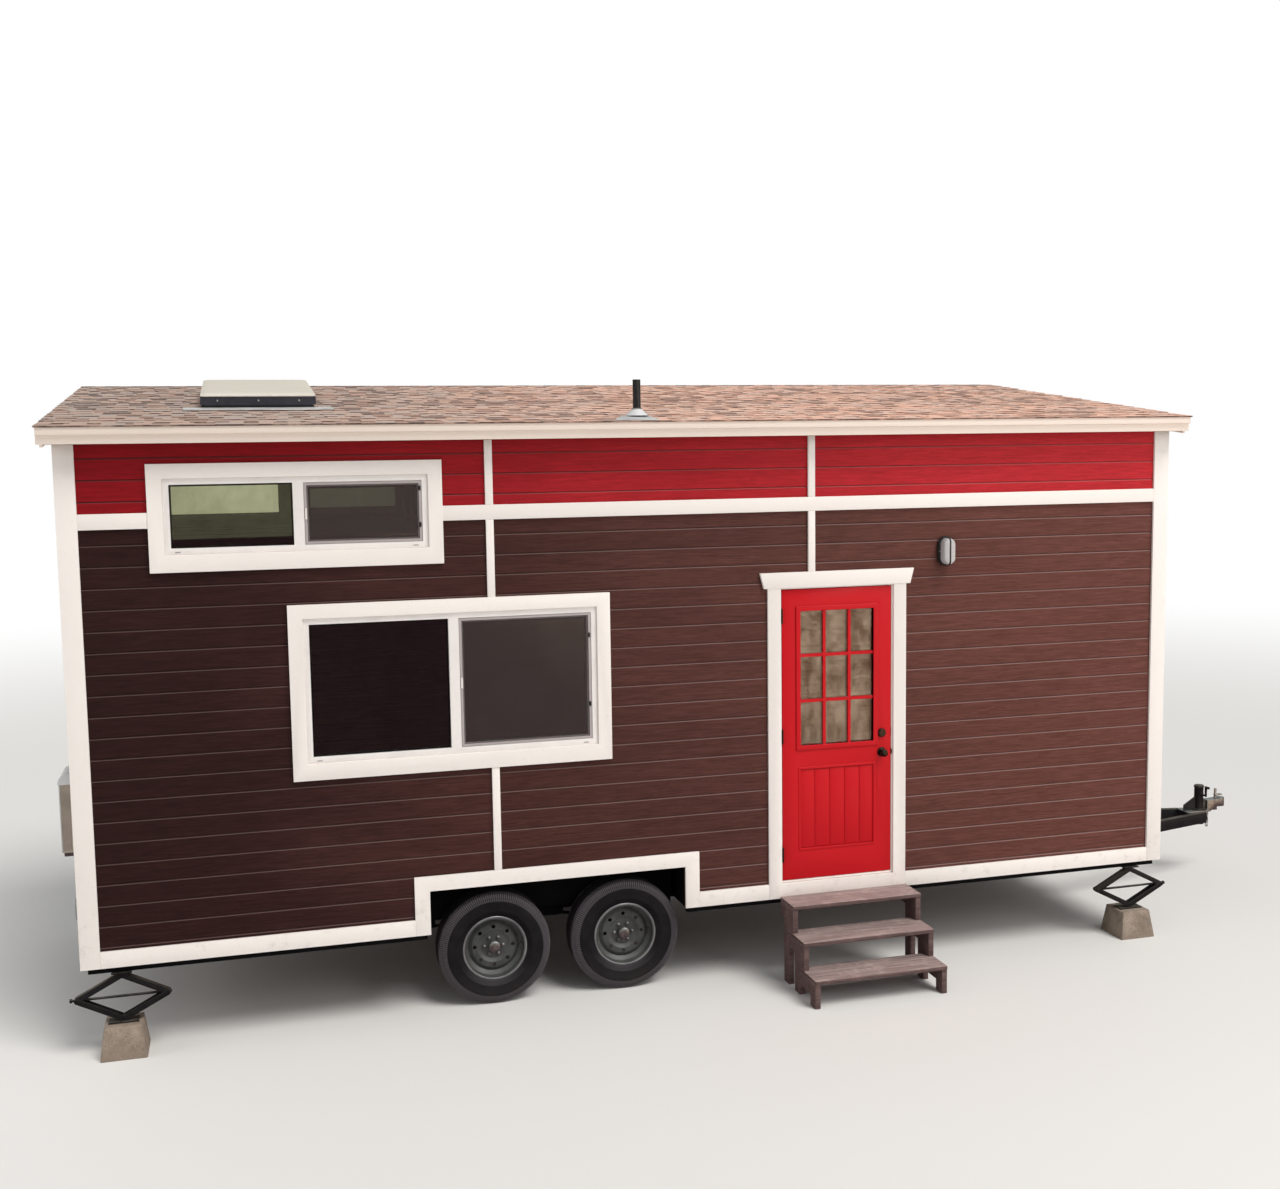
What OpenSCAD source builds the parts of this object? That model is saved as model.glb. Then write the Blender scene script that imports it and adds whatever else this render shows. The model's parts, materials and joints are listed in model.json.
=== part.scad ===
// A tiny house on a tandem-axle trailer, parked on pier blocks, in millimetres.
// X runs along the house towards the hitch, Y from the door side to the back, Z up from the ground.

/* [House body] */
// Length of the house over its siding
house_l = 7580; // [7400:10:8600]
// Width of the house over its siding
house_w = 2550; // [2400:10:2700]
// Underside of the skirt above the ground
skirt_z = 560; // [550:5:600]
// Height of the skirt boards
skirt_h = 105; // [90:5:130]
// Height of the front wall from the floor to the underside of the roof
wall_h = 3098; // [3090:1:3300]
// Thickness of the framed walls behind the siding
wall_t = 112; // [90:1:150]
// Thickness of the siding boards
siding_t = 18; // [12:1:22]
// Thickness of the trim boards on the siding
trim_t = 19; // [14:1:24]
// Thickness of the floor deck
floor_t = 45; // [30:1:60]

/* [Trim] */
// Width of the corner boards
corner_w = 119; // [90:1:150]
// Height of the board between the two siding colours
band_h = 95; // [70:1:120]
// Underside of that board above the finished floor
band_up = 2588; // [2560:1:2640]
// Width of the upright battens
batten_w = 50; // [35:1:70]
// Centre of the left batten from the left corner
batten_1_x = 2575; // [2450:5:2900]
// Centre of the right batten from the left edge of the door
batten_2_in = 214; // [120:1:600]

/* [Roof] */
// Slope of the roof, rising to the back
roof_pitch = 7.14; // [5:0.01:9]
// Upright thickness of the roof deck
deck_t = 120; // [100:1:160]
// Thickness of the shingles
shingle_t = 10; // [6:1:16]
// Reach of the roof past the siding at the front and back
eave_out = 165; // [120:1:220]
// Reach of the roof past the siding at the ends
rake_out = 90; // [60:1:140]
// Thickness of each of the two fascia boards
fascia_t = 19; // [14:1:24]
// Height of the lower fascia board that shows
fascia_low_h = 54; // [40:1:70]
// Reach of the shingles past the fascia
drip = 8; // [4:1:12]

/* [Windows] */
// Left edge of the large window from the left corner
main_x = 1382; // [1250:1:1500]
// Sill of the large window above the finished floor
main_up = 1080; // [1000:1:1200]
// Width of the large window
main_w = 1887; // [1700:1:2000]
// Height of the large window
main_h = 918; // [800:1:1000]
// Left edge of the loft window from the left corner
loft_x = 587; // [450:1:700]
// Sill of the loft window above the finished floor
loft_up = 2424; // [2380:1:2450]
// Width of the loft window
loft_w = 1598; // [1400:1:1700]
// Height of the loft windows
loft_h = 462; // [400:1:480]
// Left edge of the back loft window from the left corner
back_loft_x = 430; // [400:1:700]
// Sill of the back loft window above the finished floor
back_loft_up = 2525; // [2400:1:2600]
// Width of the back loft window
back_loft_w = 1887; // [1500:1:2000]
// Left edge of the back window across from the door, from the left corner
back_x = 4560; // [4300:1:4800]
// Sill of that window above the finished floor
back_up = 1080; // [900:1:1200]
// Width of that window
back_w = 900; // [700:1:1100]
// Height of that window
back_h = 918; // [700:1:1000]
// Width of the boards round a window
casing_w = 90; // [70:1:110]
// Height of the board under a window
sill_h = 107; // [80:1:130]
// Thickness of the boards round a window
casing_t = 25; // [20:1:30]
// Face width of a window frame
win_face = 38; // [28:1:48]
// Depth of a window frame
win_d = 78; // [60:1:100]
// Width of the post between the two lights
mullion_w = 66; // [50:1:80]
// Face width of the sliding sash
sash_face = 28; // [20:1:36]
// Thickness of a sealed glass unit
glass_t = 18; // [12:1:24]

/* [Door] */
// Left edge of the door from the left corner
door_x = 4578; // [4500:1:4700]
// Width of the door
door_w = 813; // [760:1:864]
// Height of the door
door_h = 2032; // [1980:1:2080]
// Thickness of the door
door_t = 45; // [40:1:50]
// Gap round the door
door_gap = 5; // [5:0.5:7]
// Thickness of the jambs
jamb_t = 20; // [16:1:26]
// Height of the threshold above the finished floor
sill_t = 14; // [10:1:20]
// Width of the boards beside the door
door_casing_w = 95; // [80:1:110]
// Jamb edge left bare beside the casing
reveal = 14; // [8:1:16]
// Height of the board over the door
head_h = 107; // [90:1:130]
// Glass width in the door
lite_w = 561; // [480:1:600]
// Glass height in the door
lite_h = 952; // [850:1:1000]
// Foot of the glass above the foot of the door
lite_up = 937; // [900:1:1000]
// Width of the glazing bars
muntin_w = 22; // [16:1:28]
// Width of the planked panel
panel_w = 560; // [440:1:600]
// Height of the planked panel
panel_h = 572; // [480:1:600]
// Foot of the panel above the foot of the door
panel_up = 209; // [180:1:260]
// Depth of the panel recess
panel_d = 9; // [5:1:12]
// Height of the knob above the foot of the door
knob_up = 858; // [820:1:880]
// Distance of the knob from the edge of the door
backset = 70; // [60:1:80]
// Height of the deadbolt above the knob
bolt_up = 137; // [120:1:150]
// Radius of the hinge barrels
hinge_r = 6.5; // [5:0.1:7]
// Height of a hinge
hinge_h = 102; // [76:1:114]

/* [Running gear] */
// Radius of a tire
tire_r = 380; // [360:1:390]
// Width of a tire
tire_w = 225; // [205:1:235]
// Lift of the parked tires off the ground
tire_lift = 2; // [1:0.5:5]
// Outer face of a tire from the siding
tire_in = 85; // [70:1:100]
// Radius of the rim flange
rim_r = 218; // [205:1:225]
// Rear axle from the left corner
axle_x = 2561; // [2500:1:2600]
// Distance between the axles
axle_gap = 900; // [860:1:920]
// Left edge of the wheel opening from the left corner
well_x = 2124; // [2100:1:2150]
// Length of the wheel opening
well_l = 1738; // [1720:1:1800]
// Top of the wheel opening above the skirt
well_up = 290; // [270:1:330]
// Depth of the wheel opening behind the siding
well_d = 340; // [330:1:352]
// Width of the boards round the wheel opening
well_trim_w = 99; // [80:1:110]
// Radius of an axle tube
axle_r = 38; // [30:1:45]
// Radius of an axle spindle
spindle_r = 17; // [14:0.5:20]
// Running gap between a hub and its spindle
hub_gap = 0.2; // [0.1:0.05:0.4]

/* [Trailer frame] */
// Height of the frame members
frame_h = 100; // [90:1:110]
// Width of the frame members
frame_w = 50; // [40:1:60]
// Wall of the frame members
frame_t = 6; // [4:1:8]
// Main rail from the siding
rail_in = 390; // [385:1:420]
// Crossmembers between the end beams
cross_n = 8; // [7:1:10]
// Reach of the hitch past the house
tongue_l = 1570; // [1400:10:1700]
// Height of the tongue bars
tongue_h = 90; // [75:1:100]
// Width of a tongue bar
tongue_bar_w = 50; // [40:1:60]
// Spread of the tongue bars under the frame
tongue_spread = 1180; // [1000:10:1300]
// Start of the tongue bars from the right end of the house
tongue_back = 700; // [500:10:900]
// Half of the gap between the tongue bars at the hitch
tongue_gap = 40; // [25:1:45]
// End of the tongue bars from the nose of the hitch
tongue_end = 226; // [180:1:240]
// Length of the hitch body
coupler_l = 185; // [140:1:200]
// Height of the hitch body
coupler_h = 80; // [60:1:90]
// Tongue jack from the nose of the hitch
tongue_jack_in = 245; // [235:1:300]
// Radius of the tongue jack's tube
tube_r = 38; // [30:1:40]
// Foot of the tongue jack above the ground
tube_z = 405; // [380:1:415]
// Top of the tongue jack's tube above the tongue bars
tube_up = 205; // [180:1:260]
// Radius of the hitch ball socket
ball_r = 29.8; // [25:0.1:30]

/* [Supports] */
// Width of a pier block at its foot
block_w = 280; // [250:5:300]
// Height of a pier block
block_h = 200; // [180:5:240]
// Size of a pier block's top as a share of its foot
block_taper = 0.8; // [0.7:0.01:0.9]
// Distance between the pivots at a jack's screw
jack_l = 540; // [480:10:600]
// Centre of the jacks from the ends of the house
jack_in = 215; // [180:5:300]
// Centre of the jacks from the front and back
jack_side = 35; // [20:1:60]
// Width of a jack's arms
arm_w = 50; // [44:1:60]
// Depth of a jack's arms
arm_d = 34; // [26:1:40]
// Plate of a jack's arms
arm_t = 4; // [3:0.5:6]

/* [Steps] */
// Width of the steps
step_w = 955; // [860:5:1000]
// Left end of the steps from the left corner
step_x = 4550; // [4480:1:4600]
// Rise of each step
step_rise = 192; // [180:1:200]
// Run of each step
step_run = 198; // [185:1:215]
// Depth of the two lower treads
tread_d = 280; // [250:1:300]
// Depth of the top tread
top_tread_d = 237; // [220:1:260]
// Thickness of a tread
tread_t = 28; // [22:1:38]
// Width of the boards in the step frames
post_d = 89; // [70:1:100]
// Thickness of the boards in the step frames
post_t = 38; // [30:1:45]
// Overhang of a tread in front of its frame
nosing = 6; // [2:1:12]
// Gap between the steps and the house
step_gap = 0.3; // [0.3:0.1:0.8]

/* [Loft] */
// Length of the loft floor
loft_l = 2270; // [2100:10:2400]
// Top of the loft floor above the finished floor
loft_top_up = 2185; // [2150:5:2250]
// Thickness of the loft boards
loft_t = 20; // [16:1:25]
// Height of the loft joists
joist_h = 70; // [50:1:90]
// Width of the loft joists
joist_w = 38; // [30:1:50]
// Spaces between the loft joists
joist_n = 4; // [3:6]

/* [Roof fittings] */
// Left edge of the skylight from the left corner
sky_x = 838; // [700:1:1200]
// Front edge of the skylight from the siding
sky_y = 858; // [700:1:900]
// Width of the skylight curb
sky_w = 694; // [560:1:760]
// Length of the skylight curb
sky_l = 1290; // [1100:1:1350]
// Height of the curb above the roof
sky_h = 78; // [40:1:90]
// Overhang of the frame around the top of the curb
sky_over = 26; // [10:1:40]
// Height of the frame around the top of the curb
sky_skirt = 56; // [30:1:60]
// Thickness of the curb
sky_wall = 38; // [30:1:45]
// Reach of the flashing in front of the curb
apron = 190; // [60:1:220]
// Reach of the front flashing past the sides of the curb
apron_side = 135; // [30:1:160]
// Height of the fold along the front flashing
hem_h = 8; // [6:1:12]
// Reach of the flashing beside and behind the curb
side_flash = 20; // [12:1:60]
// Thickness of the skylight lid at its edge
lid_t = 6; // [5:1:24]
// Rise of the skylight lid's crown
lid_crown = 12; // [8:1:24]
// Centre of the vent pipe from the left corner
vent_x = 3597; // [3400:1:3700]
// Centre of the vent pipe from the siding
vent_y = 100; // [60:5:200]
// Radius of the vent pipe
vent_r = 26; // [20:1:30]
// Height of the vent pipe above the roof
vent_h = 241; // [180:1:300]
// Radius of the vent's boot at its foot
boot_r = 75; // [60:1:95]
// Height of the vent's boot
boot_h = 52; // [40:1:70]
// Reach of the vent's flange to the left at its front edge
flange_left = 225; // [150:1:240]
// Reach of the vent's flange to the left where the shingles lap it
flange_in = 95; // [80:1:150]
// Reach of the vent's flange to the right
flange_right = 85; // [80:1:160]
// Reach of the flange below the vent
flange_low = 265; // [200:1:265]
// Reach of the flange above the vent
flange_high = 30; // [20:1:60]

/* [Wall fittings] */
// Centre of the wall lamp from the left corner
lamp_x = 5803; // [5650:1:5950]
// Centre of the wall lamp above the finished floor
lamp_up = 2281; // [2200:1:2350]
// Width of the wall lamp
lamp_w = 122; // [100:1:140]
// Height of the wall lamp
lamp_h = 206; // [180:1:230]
// Depth of the wall lamp
lamp_d = 88; // [70:1:100]
// Depth of the lamp's base
lamp_base_d = 30; // [20:1:40]
// Rim of the lamp's base round its glass
lamp_rim = 12; // [8:1:16]
// Depth of the outdoor heater
unit_d = 225; // [200:5:300]
// Width of the outdoor heater
unit_w = 330; // [300:5:400]
// Height of the outdoor heater
unit_h = 572; // [500:1:650]
// Front side of the outdoor heater from the siding
unit_y = 1580; // [1300:5:1650]
// Foot of the outdoor heater above the finished floor
unit_up = 222; // [200:1:400]
// Gap between the outdoor heater and the wall
unit_gap = 65; // [50:5:100]
// Height of the heater's cover
cover_h = 60; // [40:1:90]
// Overhang of the heater's cover
cover_over = 6; // [3:1:12]
// Louvers in the heater's front
louver_n = 7; // [4:10]
// Front side of the inlet box from the siding
inlet_y = 281; // [200:1:400]
// Foot of the inlet box above the finished floor
inlet_up = 122; // [80:1:200]
// Width of the inlet box
inlet_w = 120; // [90:1:140]
// Height of the inlet box
inlet_h = 138; // [110:1:170]
// Depth of the inlet box
inlet_d = 62; // [45:1:80]

/* [Hidden] */
$fn = 48;
// Play between pieces that pass through each other, and the bed under pieces laid on a slope
seat = 0.3;
lay = 0.05;
sheet_t = 3;
// Steel plates on the hitch and the jacks
plate_t = 10;
pad_t = 8;
cup_wall = 14;
cup_h = 73;
cup_up = 17;
ball_depth = 47;
latch_up = 88;
latch_w = 16;
flange_r = 60;
pad_r = 44;
gusset_l = 112;
gusset_h = 114;
gusset_t = 10;
crank_r = 8;
crank_l = 90;
grip_r = 11;
grip_l = 40;
// Links of the safety chain
link_wire = 4;
link_in = 30;
link_gap = 9;
link_count = 4;
// Leaf springs
spring_w = 45;
leaf_t = 8;
leaf_n = 4;
leaf_step = 75;
eye_r = 16;
spring_half = 385;
spring_rise = 32;
bolt_r = 5;
hanger_t = 6;
clamp_half = 55;
clamp_side = 12;
clamp_t = 10;
// Scissor jacks
jack_pad_l = 180;
jack_pad_w = 90;
jack_head_l = 120;
jack_head_w = 80;
pivot_up = 22;
pivot_r = 14;
screw_r = 8;
screw_out = 40;
// Notch in the top of a pier block
notch_l = 110;
notch_w = 48;
notch_d = 38;
// Hinges
leaf_plate = 2;
leaf_d = 36;
knuckle_gap = 0.4;
pin_r = 3;
hinge_from_end = 180;
// Knob and deadbolt
rose_r = 33;
rose_t = 8;
neck_r = 12;
knob_r = 27;
knob_out = 60;
deadbolt_r = 31;
deadbolt_out = 20;
thumb_h = 34;
thumb_t = 10;
// Window frame in front of the siding, its sash and its glass
win_proud = 8;
sash_y = 6;
sash_d = 34;
pane_y = 14;
// Door stops
stop_t = 12;
// Flare at each end of the head board over the door
flare = 28;
// Grooves between the planks of the door's panel
plank_gap = 4;
plank_end = 12;
plank_count = 5;
bar_t = 8;
pane_in = 12;
// Heater brackets
bracket_w = 40;
bracket_h = 40;
bracket_up = 260;
bracket_t = 6;
bracket_in = 60;
louver_t = 10;
louver_d = 12;
// Rim section, as radius and distance from the middle of the wheel
rim_wall = 6;
bead = tire_w * 0.36;
bead_r = rim_r - 14;
well_r = rim_r - 40;
well_half = 25;
disc_t = 8;
disc_edge = 12;
crown_out = 147;
crown_in = 113;
crown_y = 38;
dish_r = 88;
dish_y = 26;
cap_r = 38;
cap_y = 70;
cap_wall = 5;
hub_r = 45;
hub_back = 60;
drum_r = 128;
drum_y = 42;
drum_back = 80;
brake_r = 130;
brake_in = 95;
brake_t = 5;
hand_hole_r = 13;
hand_hole_at = 130;
hand_hole_n = 8;
floor_z = skirt_z + skirt_h;
wall_in = siding_t + wall_t;
band_z = floor_z + band_up;
band_mid = band_z + band_h / 2;
frame_top = floor_z - floor_t;
frame_z = frame_top - frame_h;
slope = tan(roof_pitch);
eave_z = floor_z + wall_h;
well_top = skirt_z + well_up;
box_t = 20;
axle_z = tire_r + tire_lift;
front_axle_x = axle_x + axle_gap;
tire_mid = tire_in + tire_w / 2;
door_z = floor_z + sill_t + door_gap;
door_head_z = door_z + door_h + door_gap + jamb_t;
head_z = door_z + door_h + reveal;
jamb_x0 = door_x - door_gap - jamb_t;
jamb_x1 = door_x + door_w + door_gap + jamb_t;
casing_x0 = door_x - reveal - door_casing_w;
casing_x1 = door_x + door_w + reveal + door_casing_w;
batten_2_x = door_x + batten_2_in;
hinge_x = door_x - door_gap / 2;
hinge_y = -hinge_r - 1;
knuckle = hinge_h / 5;
loft_top = floor_z + loft_top_up;
nose_x = house_l + tongue_l;
mid_w = house_w / 2;
step_n = 3;
step_front = -(trim_t + step_gap + top_tread_d + (step_n - 1) * step_run);
unit_left = -(unit_gap + unit_d);
mid_x = (min(unit_left, -rake_out - drip) + nose_x) / 2;
mid_y = (step_front + house_w + eave_out + drip) / 2;

function under_roof(y) = eave_z + y * slope;
function deck_top(y) = under_roof(y) + deck_t;
function roof_top(y) = deck_top(y) + shingle_t;

// The whole part stands over the middle of its own outline.
module place() translate([-mid_x, -mid_y, 0]) children();

// A block between two corners.
module block(a, b) translate(a) cube(b - a);

// A profile drawn in Y and Z, carried along X.
module along_x(x0, x1) translate([x0, 0, 0]) rotate([90, 0, 90]) linear_extrude(x1 - x0) children();

// A profile drawn in X and Z, carried along Y.
module along_y(y0, y1) translate([0, y1, 0]) rotate([90, 0, 0]) linear_extrude(y1 - y0) children();

// The same pieces on the door side and, mirrored, on the back.
module both_sides() {
  children();
  translate([0, house_w, 0]) mirror([0, 1, 0]) children();
}

// The same pieces at the left end and, mirrored, at the right end.
module both_ends() {
  children();
  translate([house_l, 0, 0]) mirror([1, 0, 0]) children();
}

// Running gear and frame

module channel_profile() {
  difference() {
    square([frame_w, frame_h]);
    translate([frame_t, frame_t]) square([frame_w, frame_h - 2 * frame_t]);
  }
}

module frame_rails() color("#1d1d1f") place() {
  side = siding_t + 2;
  both_sides() {
    along_x(side + frame_w, well_x - box_t) translate([side, frame_z]) channel_profile();
    along_x(well_x + well_l + box_t, house_l - side - frame_w) translate([side, frame_z]) channel_profile();
    along_x(side + frame_w, house_l - side - frame_w) translate([rail_in, frame_z]) channel_profile();
  }
}

module crossmembers() color("#202022") place() {
  side = siding_t + 2;
  step = (house_l - 2 * side - frame_w) / (cross_n + 1);
  rail_end = rail_in + frame_w;
  both_ends() translate([side, side, frame_z]) cube([frame_w, house_w - 2 * side, frame_h]);
  for (i = [1 : cross_n]) {
    x = side + i * step;
    block([x, rail_end, frame_z + frame_t], [x + frame_w, house_w - rail_end, frame_top]);
    if (x + frame_w < well_x - box_t || x > well_x + well_l + box_t)
      both_sides() block([x, side + frame_w, frame_z + frame_t], [x + frame_w, rail_in, frame_top]);
  }
}

// Each bar runs from under the frame to the hitch.
module tongue_bars() color("#1b1b1d") place() {
  start_x = house_l - tongue_back;
  end_x = nose_x - tongue_end;
  both_sides()
    translate([0, 0, frame_z - tongue_h]) linear_extrude(tongue_h) polygon([
      [start_x, mid_w - tongue_spread / 2],
      [end_x, mid_w - tongue_gap - tongue_bar_w],
      [end_x, mid_w - tongue_gap],
      [start_x, mid_w - tongue_spread / 2 + tongue_bar_w]
    ]);
}

// A welded plate on the bars carries the hitch and, through a hole, the jack.
module hitch_coupler() color("#8f9092") place() {
  cup_r = ball_r + cup_wall;
  cup_x = nose_x - cup_r;
  body_z = frame_z + plate_t;
  plate_in = tongue_jack_in + gusset_l + tube_r + 10;
  body_w = 2 * tube_r;
  difference() {
    union() {
      translate([nose_x - plate_in, mid_w - flange_r - 15, frame_z])
        cube([plate_in - coupler_l + 10, 2 * (flange_r + 15), plate_t]);
      translate([nose_x - coupler_l, mid_w - body_w / 2, frame_z])
        cube([coupler_l - cup_r, body_w, plate_t + coupler_h]);
      translate([cup_x, mid_w, body_z + cup_up]) cylinder(r = cup_r, h = cup_h);
      translate([cup_x - cup_r, mid_w - latch_w / 2, body_z + coupler_h - latch_w])
        cube([latch_w, latch_w, latch_up + latch_w]);
      translate([cup_x - cup_r, mid_w - latch_w, body_z + coupler_h + latch_up / 3])
        cube([1.5 * cup_r, 2 * latch_w, latch_w / 2]);
    }
    translate([cup_x, mid_w, frame_z - 1]) cylinder(r = ball_r, h = plate_t + cup_up + ball_depth + 1);
    translate([cup_x - cup_r, mid_w - cup_r, frame_z - 1]) cube([2 * cup_r, 2 * cup_r, plate_t + cup_up + 1]);
    translate([nose_x - tongue_jack_in, mid_w, frame_z - 1]) cylinder(r = tube_r + seat, h = plate_t + 2);
  }
}

module tongue_jack() color("#232326") place() translate([nose_x - tongue_jack_in, mid_w, 0]) {
  tube_top = frame_z + tube_up;
  crank_z = tube_top - 2 * crank_l / 3;
  translate([0, 0, tube_z]) cylinder(r = pad_r, h = plate_t);
  translate([0, 0, tube_z]) cylinder(r = tube_r, h = tube_top - tube_z);
  translate([0, 0, frame_z + plate_t]) cylinder(r = flange_r, h = pad_t);
  translate([0, 0, tube_top]) cylinder(r1 = tube_r + 6, r2 = tube_r, h = 2 * pad_t);
  translate([0, gusset_t / 2, frame_z + plate_t]) rotate([90, 0, 0]) linear_extrude(gusset_t) polygon([
    [1 - tube_r, 0], [1 - tube_r, gusset_h], [-tube_r - gusset_l, gusset_h / 2.5], [-tube_r - gusset_l, 0]
  ]);
  translate([0, -crank_l, crank_z]) rotate([-90, 0, 0]) cylinder(r = crank_r, h = crank_l);
  translate([-crank_r, -crank_l - crank_r, crank_z - crank_r]) cube([2 * crank_r, 1.5 * crank_r, crank_l]);
  translate([0, -crank_l - grip_l, crank_z + crank_l - 2 * crank_r])
    rotate([-90, 0, 0]) cylinder(r = grip_r, h = grip_l);
}

// One chain link, standing upright with its wire in the X and Z plane.
module chain_link() {
  bend_r = link_gap + link_wire;
  leg = link_in - 2 * link_gap;
  for (s = [-1, 1])
    translate([s * bend_r, 0, -leg / 2]) cylinder(r = link_wire, h = leg, $fn = 16);
  for (s = [0, 180])
    rotate([0, s, 0]) translate([0, 0, leg / 2]) rotate([90, 0, 0])
      rotate_extrude(angle = 180, $fn = 32) translate([bend_r, 0]) circle(r = link_wire, $fn = 16);
}

module safety_chain() color("#8d8f94") place() {
  x = nose_x - tongue_end + link_gap + 3 * link_wire;
  top = frame_z - link_in / 2 - 2 * link_wire;
  y = mid_w - tongue_gap - link_in / 2;
  for (i = [0 : link_count - 1])
    translate([x, y, top - i * (link_in - seat)]) rotate([0, 0, i % 2 * 90]) chain_link();
}

// The spindles end just short of the hub caps. The brake plates close the drums.
module axles() color("#27282b") place() {
  plate_y = tire_mid + brake_in;
  tip_y = tire_mid - cap_y + cap_wall + 3;
  for (x = [axle_x, front_axle_x]) {
    translate([x, plate_y, axle_z]) rotate([-90, 0, 0]) cylinder(r = axle_r, h = house_w - 2 * plate_y);
    both_sides() {
      translate([x, tip_y, axle_z]) rotate([-90, 0, 0]) cylinder(r = spindle_r, h = plate_y + 1 - tip_y);
      translate([x, plate_y, axle_z]) rotate([-90, 0, 0]) cylinder(r = brake_r, h = brake_t);
    }
  }
}

// One curved leaf, drawn in X and Z over the middle of its axle.
module leaf(half, r) {
  intersection() {
    translate([0, r]) difference() {
      circle(r = r, $fn = 720);
      circle(r = r - leaf_t, $fn = 720);
    }
    translate([-half, -1]) square([2 * half, 2 * spring_rise]);
  }
}

module leaf_springs() color("#2a2a2d") place() {
  r = (spring_half * spring_half + spring_rise * spring_rise) / (2 * spring_rise);
  pack_z = axle_z + axle_r;
  pack_top = pack_z + leaf_n * leaf_t;
  y0 = rail_in + (frame_w - spring_w) / 2;
  y1 = y0 + spring_w;
  eye_z = pack_top + spring_rise + eye_r - leaf_t;
  mid = (axle_x + front_axle_x) / 2;
  shackle_reach = axle_gap / 2 - spring_half + eye_r;
  foot_z = axle_z - axle_r - clamp_t;
  both_sides() {
    for (x = [axle_x, front_axle_x]) {
      for (i = [0 : leaf_n - 1])
        along_y(y0, y1)
          translate([x, pack_z + (leaf_n - 1 - i) * leaf_t]) leaf(spring_half - i * leaf_step, r);
      for (z = [foot_z, pack_top])
        block([x - clamp_half, y0 - clamp_side, z], [x + clamp_half, y1 + clamp_side, z + clamp_t]);
      for (dx = [-1, 1], y = [y0 - bolt_r, y1 + bolt_r])
        translate([x + dx * (axle_r + bolt_r), y, foot_z - clamp_t])
          cylinder(r = bolt_r, h = pack_top + 3 * clamp_t - foot_z, $fn = 16);
      for (dx = [-1, 1])
        translate([x + dx * spring_half, y0, eye_z]) rotate([-90, 0, 0]) cylinder(r = eye_r, h = spring_w);
    }
    for (y = [y0 - hanger_t, y1]) {
      for (x = [axle_x - spring_half, front_axle_x + spring_half])
        block([x - eye_r - clamp_t, y, eye_z - eye_r - hanger_t],
          [x + eye_r + clamp_t, y + hanger_t, frame_z]);
      block([mid - shackle_reach, y, eye_z - eye_r], [mid + shackle_reach, y + hanger_t, frame_z]);
    }
  }
}

// Supports

// One arm of a scissor jack: a channel that starts at its pivot, with its hollow side up.
module jack_arm(l, w) difference() {
  translate([0, -w / 2, -arm_d / 2]) cube([l, w, arm_d]);
  translate([arm_t, arm_t - w / 2, arm_t - arm_d / 2]) cube([l, w - 2 * arm_t, arm_d]);
}

module scissor_jack() {
  rise = frame_z - block_h;
  half = jack_l / 2;
  arm_rise = rise / 2 - pivot_up;
  arm_l = sqrt(half * half + arm_rise * arm_rise);
  tilt = atan2(arm_rise, half);
  translate([-jack_pad_l / 2, -jack_pad_w / 2, 0]) cube([jack_pad_l, jack_pad_w, pad_t]);
  translate([-jack_head_l / 2, -jack_head_w / 2, rise - pad_t]) cube([jack_head_l, jack_head_w, pad_t]);
  for (s = [0, 1]) mirror([s, 0, 0]) {
    translate([0, 0, pivot_up]) rotate([0, -tilt, 0]) jack_arm(arm_l, arm_w);
    translate([0, 0, rise - pivot_up]) rotate([0, tilt, 0]) rotate([180, 0, 0])
      jack_arm(arm_l, arm_w - 2 * arm_t - 1);
    translate([half, -arm_w / 2 - arm_t, rise / 2]) rotate([-90, 0, 0])
      cylinder(r = pivot_r, h = arm_w + 2 * arm_t);
  }
  translate([-half - screw_out, 0, rise / 2]) rotate([0, 90, 0]) {
    cylinder(r = screw_r, h = jack_l + 1.5 * screw_out);
    cylinder(r = pivot_r, h = pivot_r, $fn = 6);
  }
}

module scissor_jacks() color("#18181a") place()
  both_sides() both_ends() translate([jack_in, jack_side, block_h]) scissor_jack();

module pier_block() {
  difference() {
    linear_extrude(block_h, scale = block_taper) square(block_w, center = true);
    translate([-notch_l / 2, -notch_w / 2, block_h - notch_d]) cube([notch_l, notch_w, notch_d + 1]);
  }
}

module pier_blocks() color("#b9b5ad") place()
  both_sides() both_ends() translate([jack_in, jack_side, 0]) pier_block();

// Floor and walls

module wheel_boxes() color("#4a4a4c") place()
  both_sides() difference() {
    block([well_x - box_t, siding_t, skirt_z], [well_x + well_l + box_t, well_d + box_t, well_top + box_t]);
    block([well_x, siding_t - 1, skirt_z - 1], [well_x + well_l, well_d, well_top]);
  }

module well_cut()
  block([well_x - box_t, -1, skirt_z - 1], [well_x + well_l + box_t, well_d + box_t, well_top + box_t]);

module floor() color("#a9825c") place()
  difference() {
    block([siding_t, siding_t, frame_top], [house_l - siding_t, house_w - siding_t, floor_z]);
    both_sides() well_cut();
  }

// A straight piece of the long walls, with its top cut to the roof.
module long_wall(x0, x1, y0, y1, z0)
  along_x(x0, x1) polygon([[y0, z0], [y0, under_roof(y0)], [y1, under_roof(y1)], [y1, z0]]);

module front_openings(d) {
  block([main_x, -1, floor_z + main_up], [main_x + main_w, d, floor_z + main_up + main_h]);
  block([loft_x, -1, floor_z + loft_up], [loft_x + loft_w, d, floor_z + loft_up + loft_h]);
}

module back_openings(d) {
  block([back_x, house_w - d, floor_z + back_up], [back_x + back_w, house_w + 1, floor_z + back_up + back_h]);
  block([back_loft_x, house_w - d, floor_z + back_loft_up],
    [back_loft_x + back_loft_w, house_w + 1, floor_z + back_loft_up + loft_h]);
}

module front_wall_left() color("#d8c7a8") place()
  difference() {
    long_wall(siding_t, jamb_x0, siding_t, wall_in, floor_z);
    front_openings(wall_in + 1);
    well_cut();
  }

module front_wall_right() color("#d8c7a8") place()
  long_wall(jamb_x1, house_l - siding_t, siding_t, wall_in, floor_z);

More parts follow.
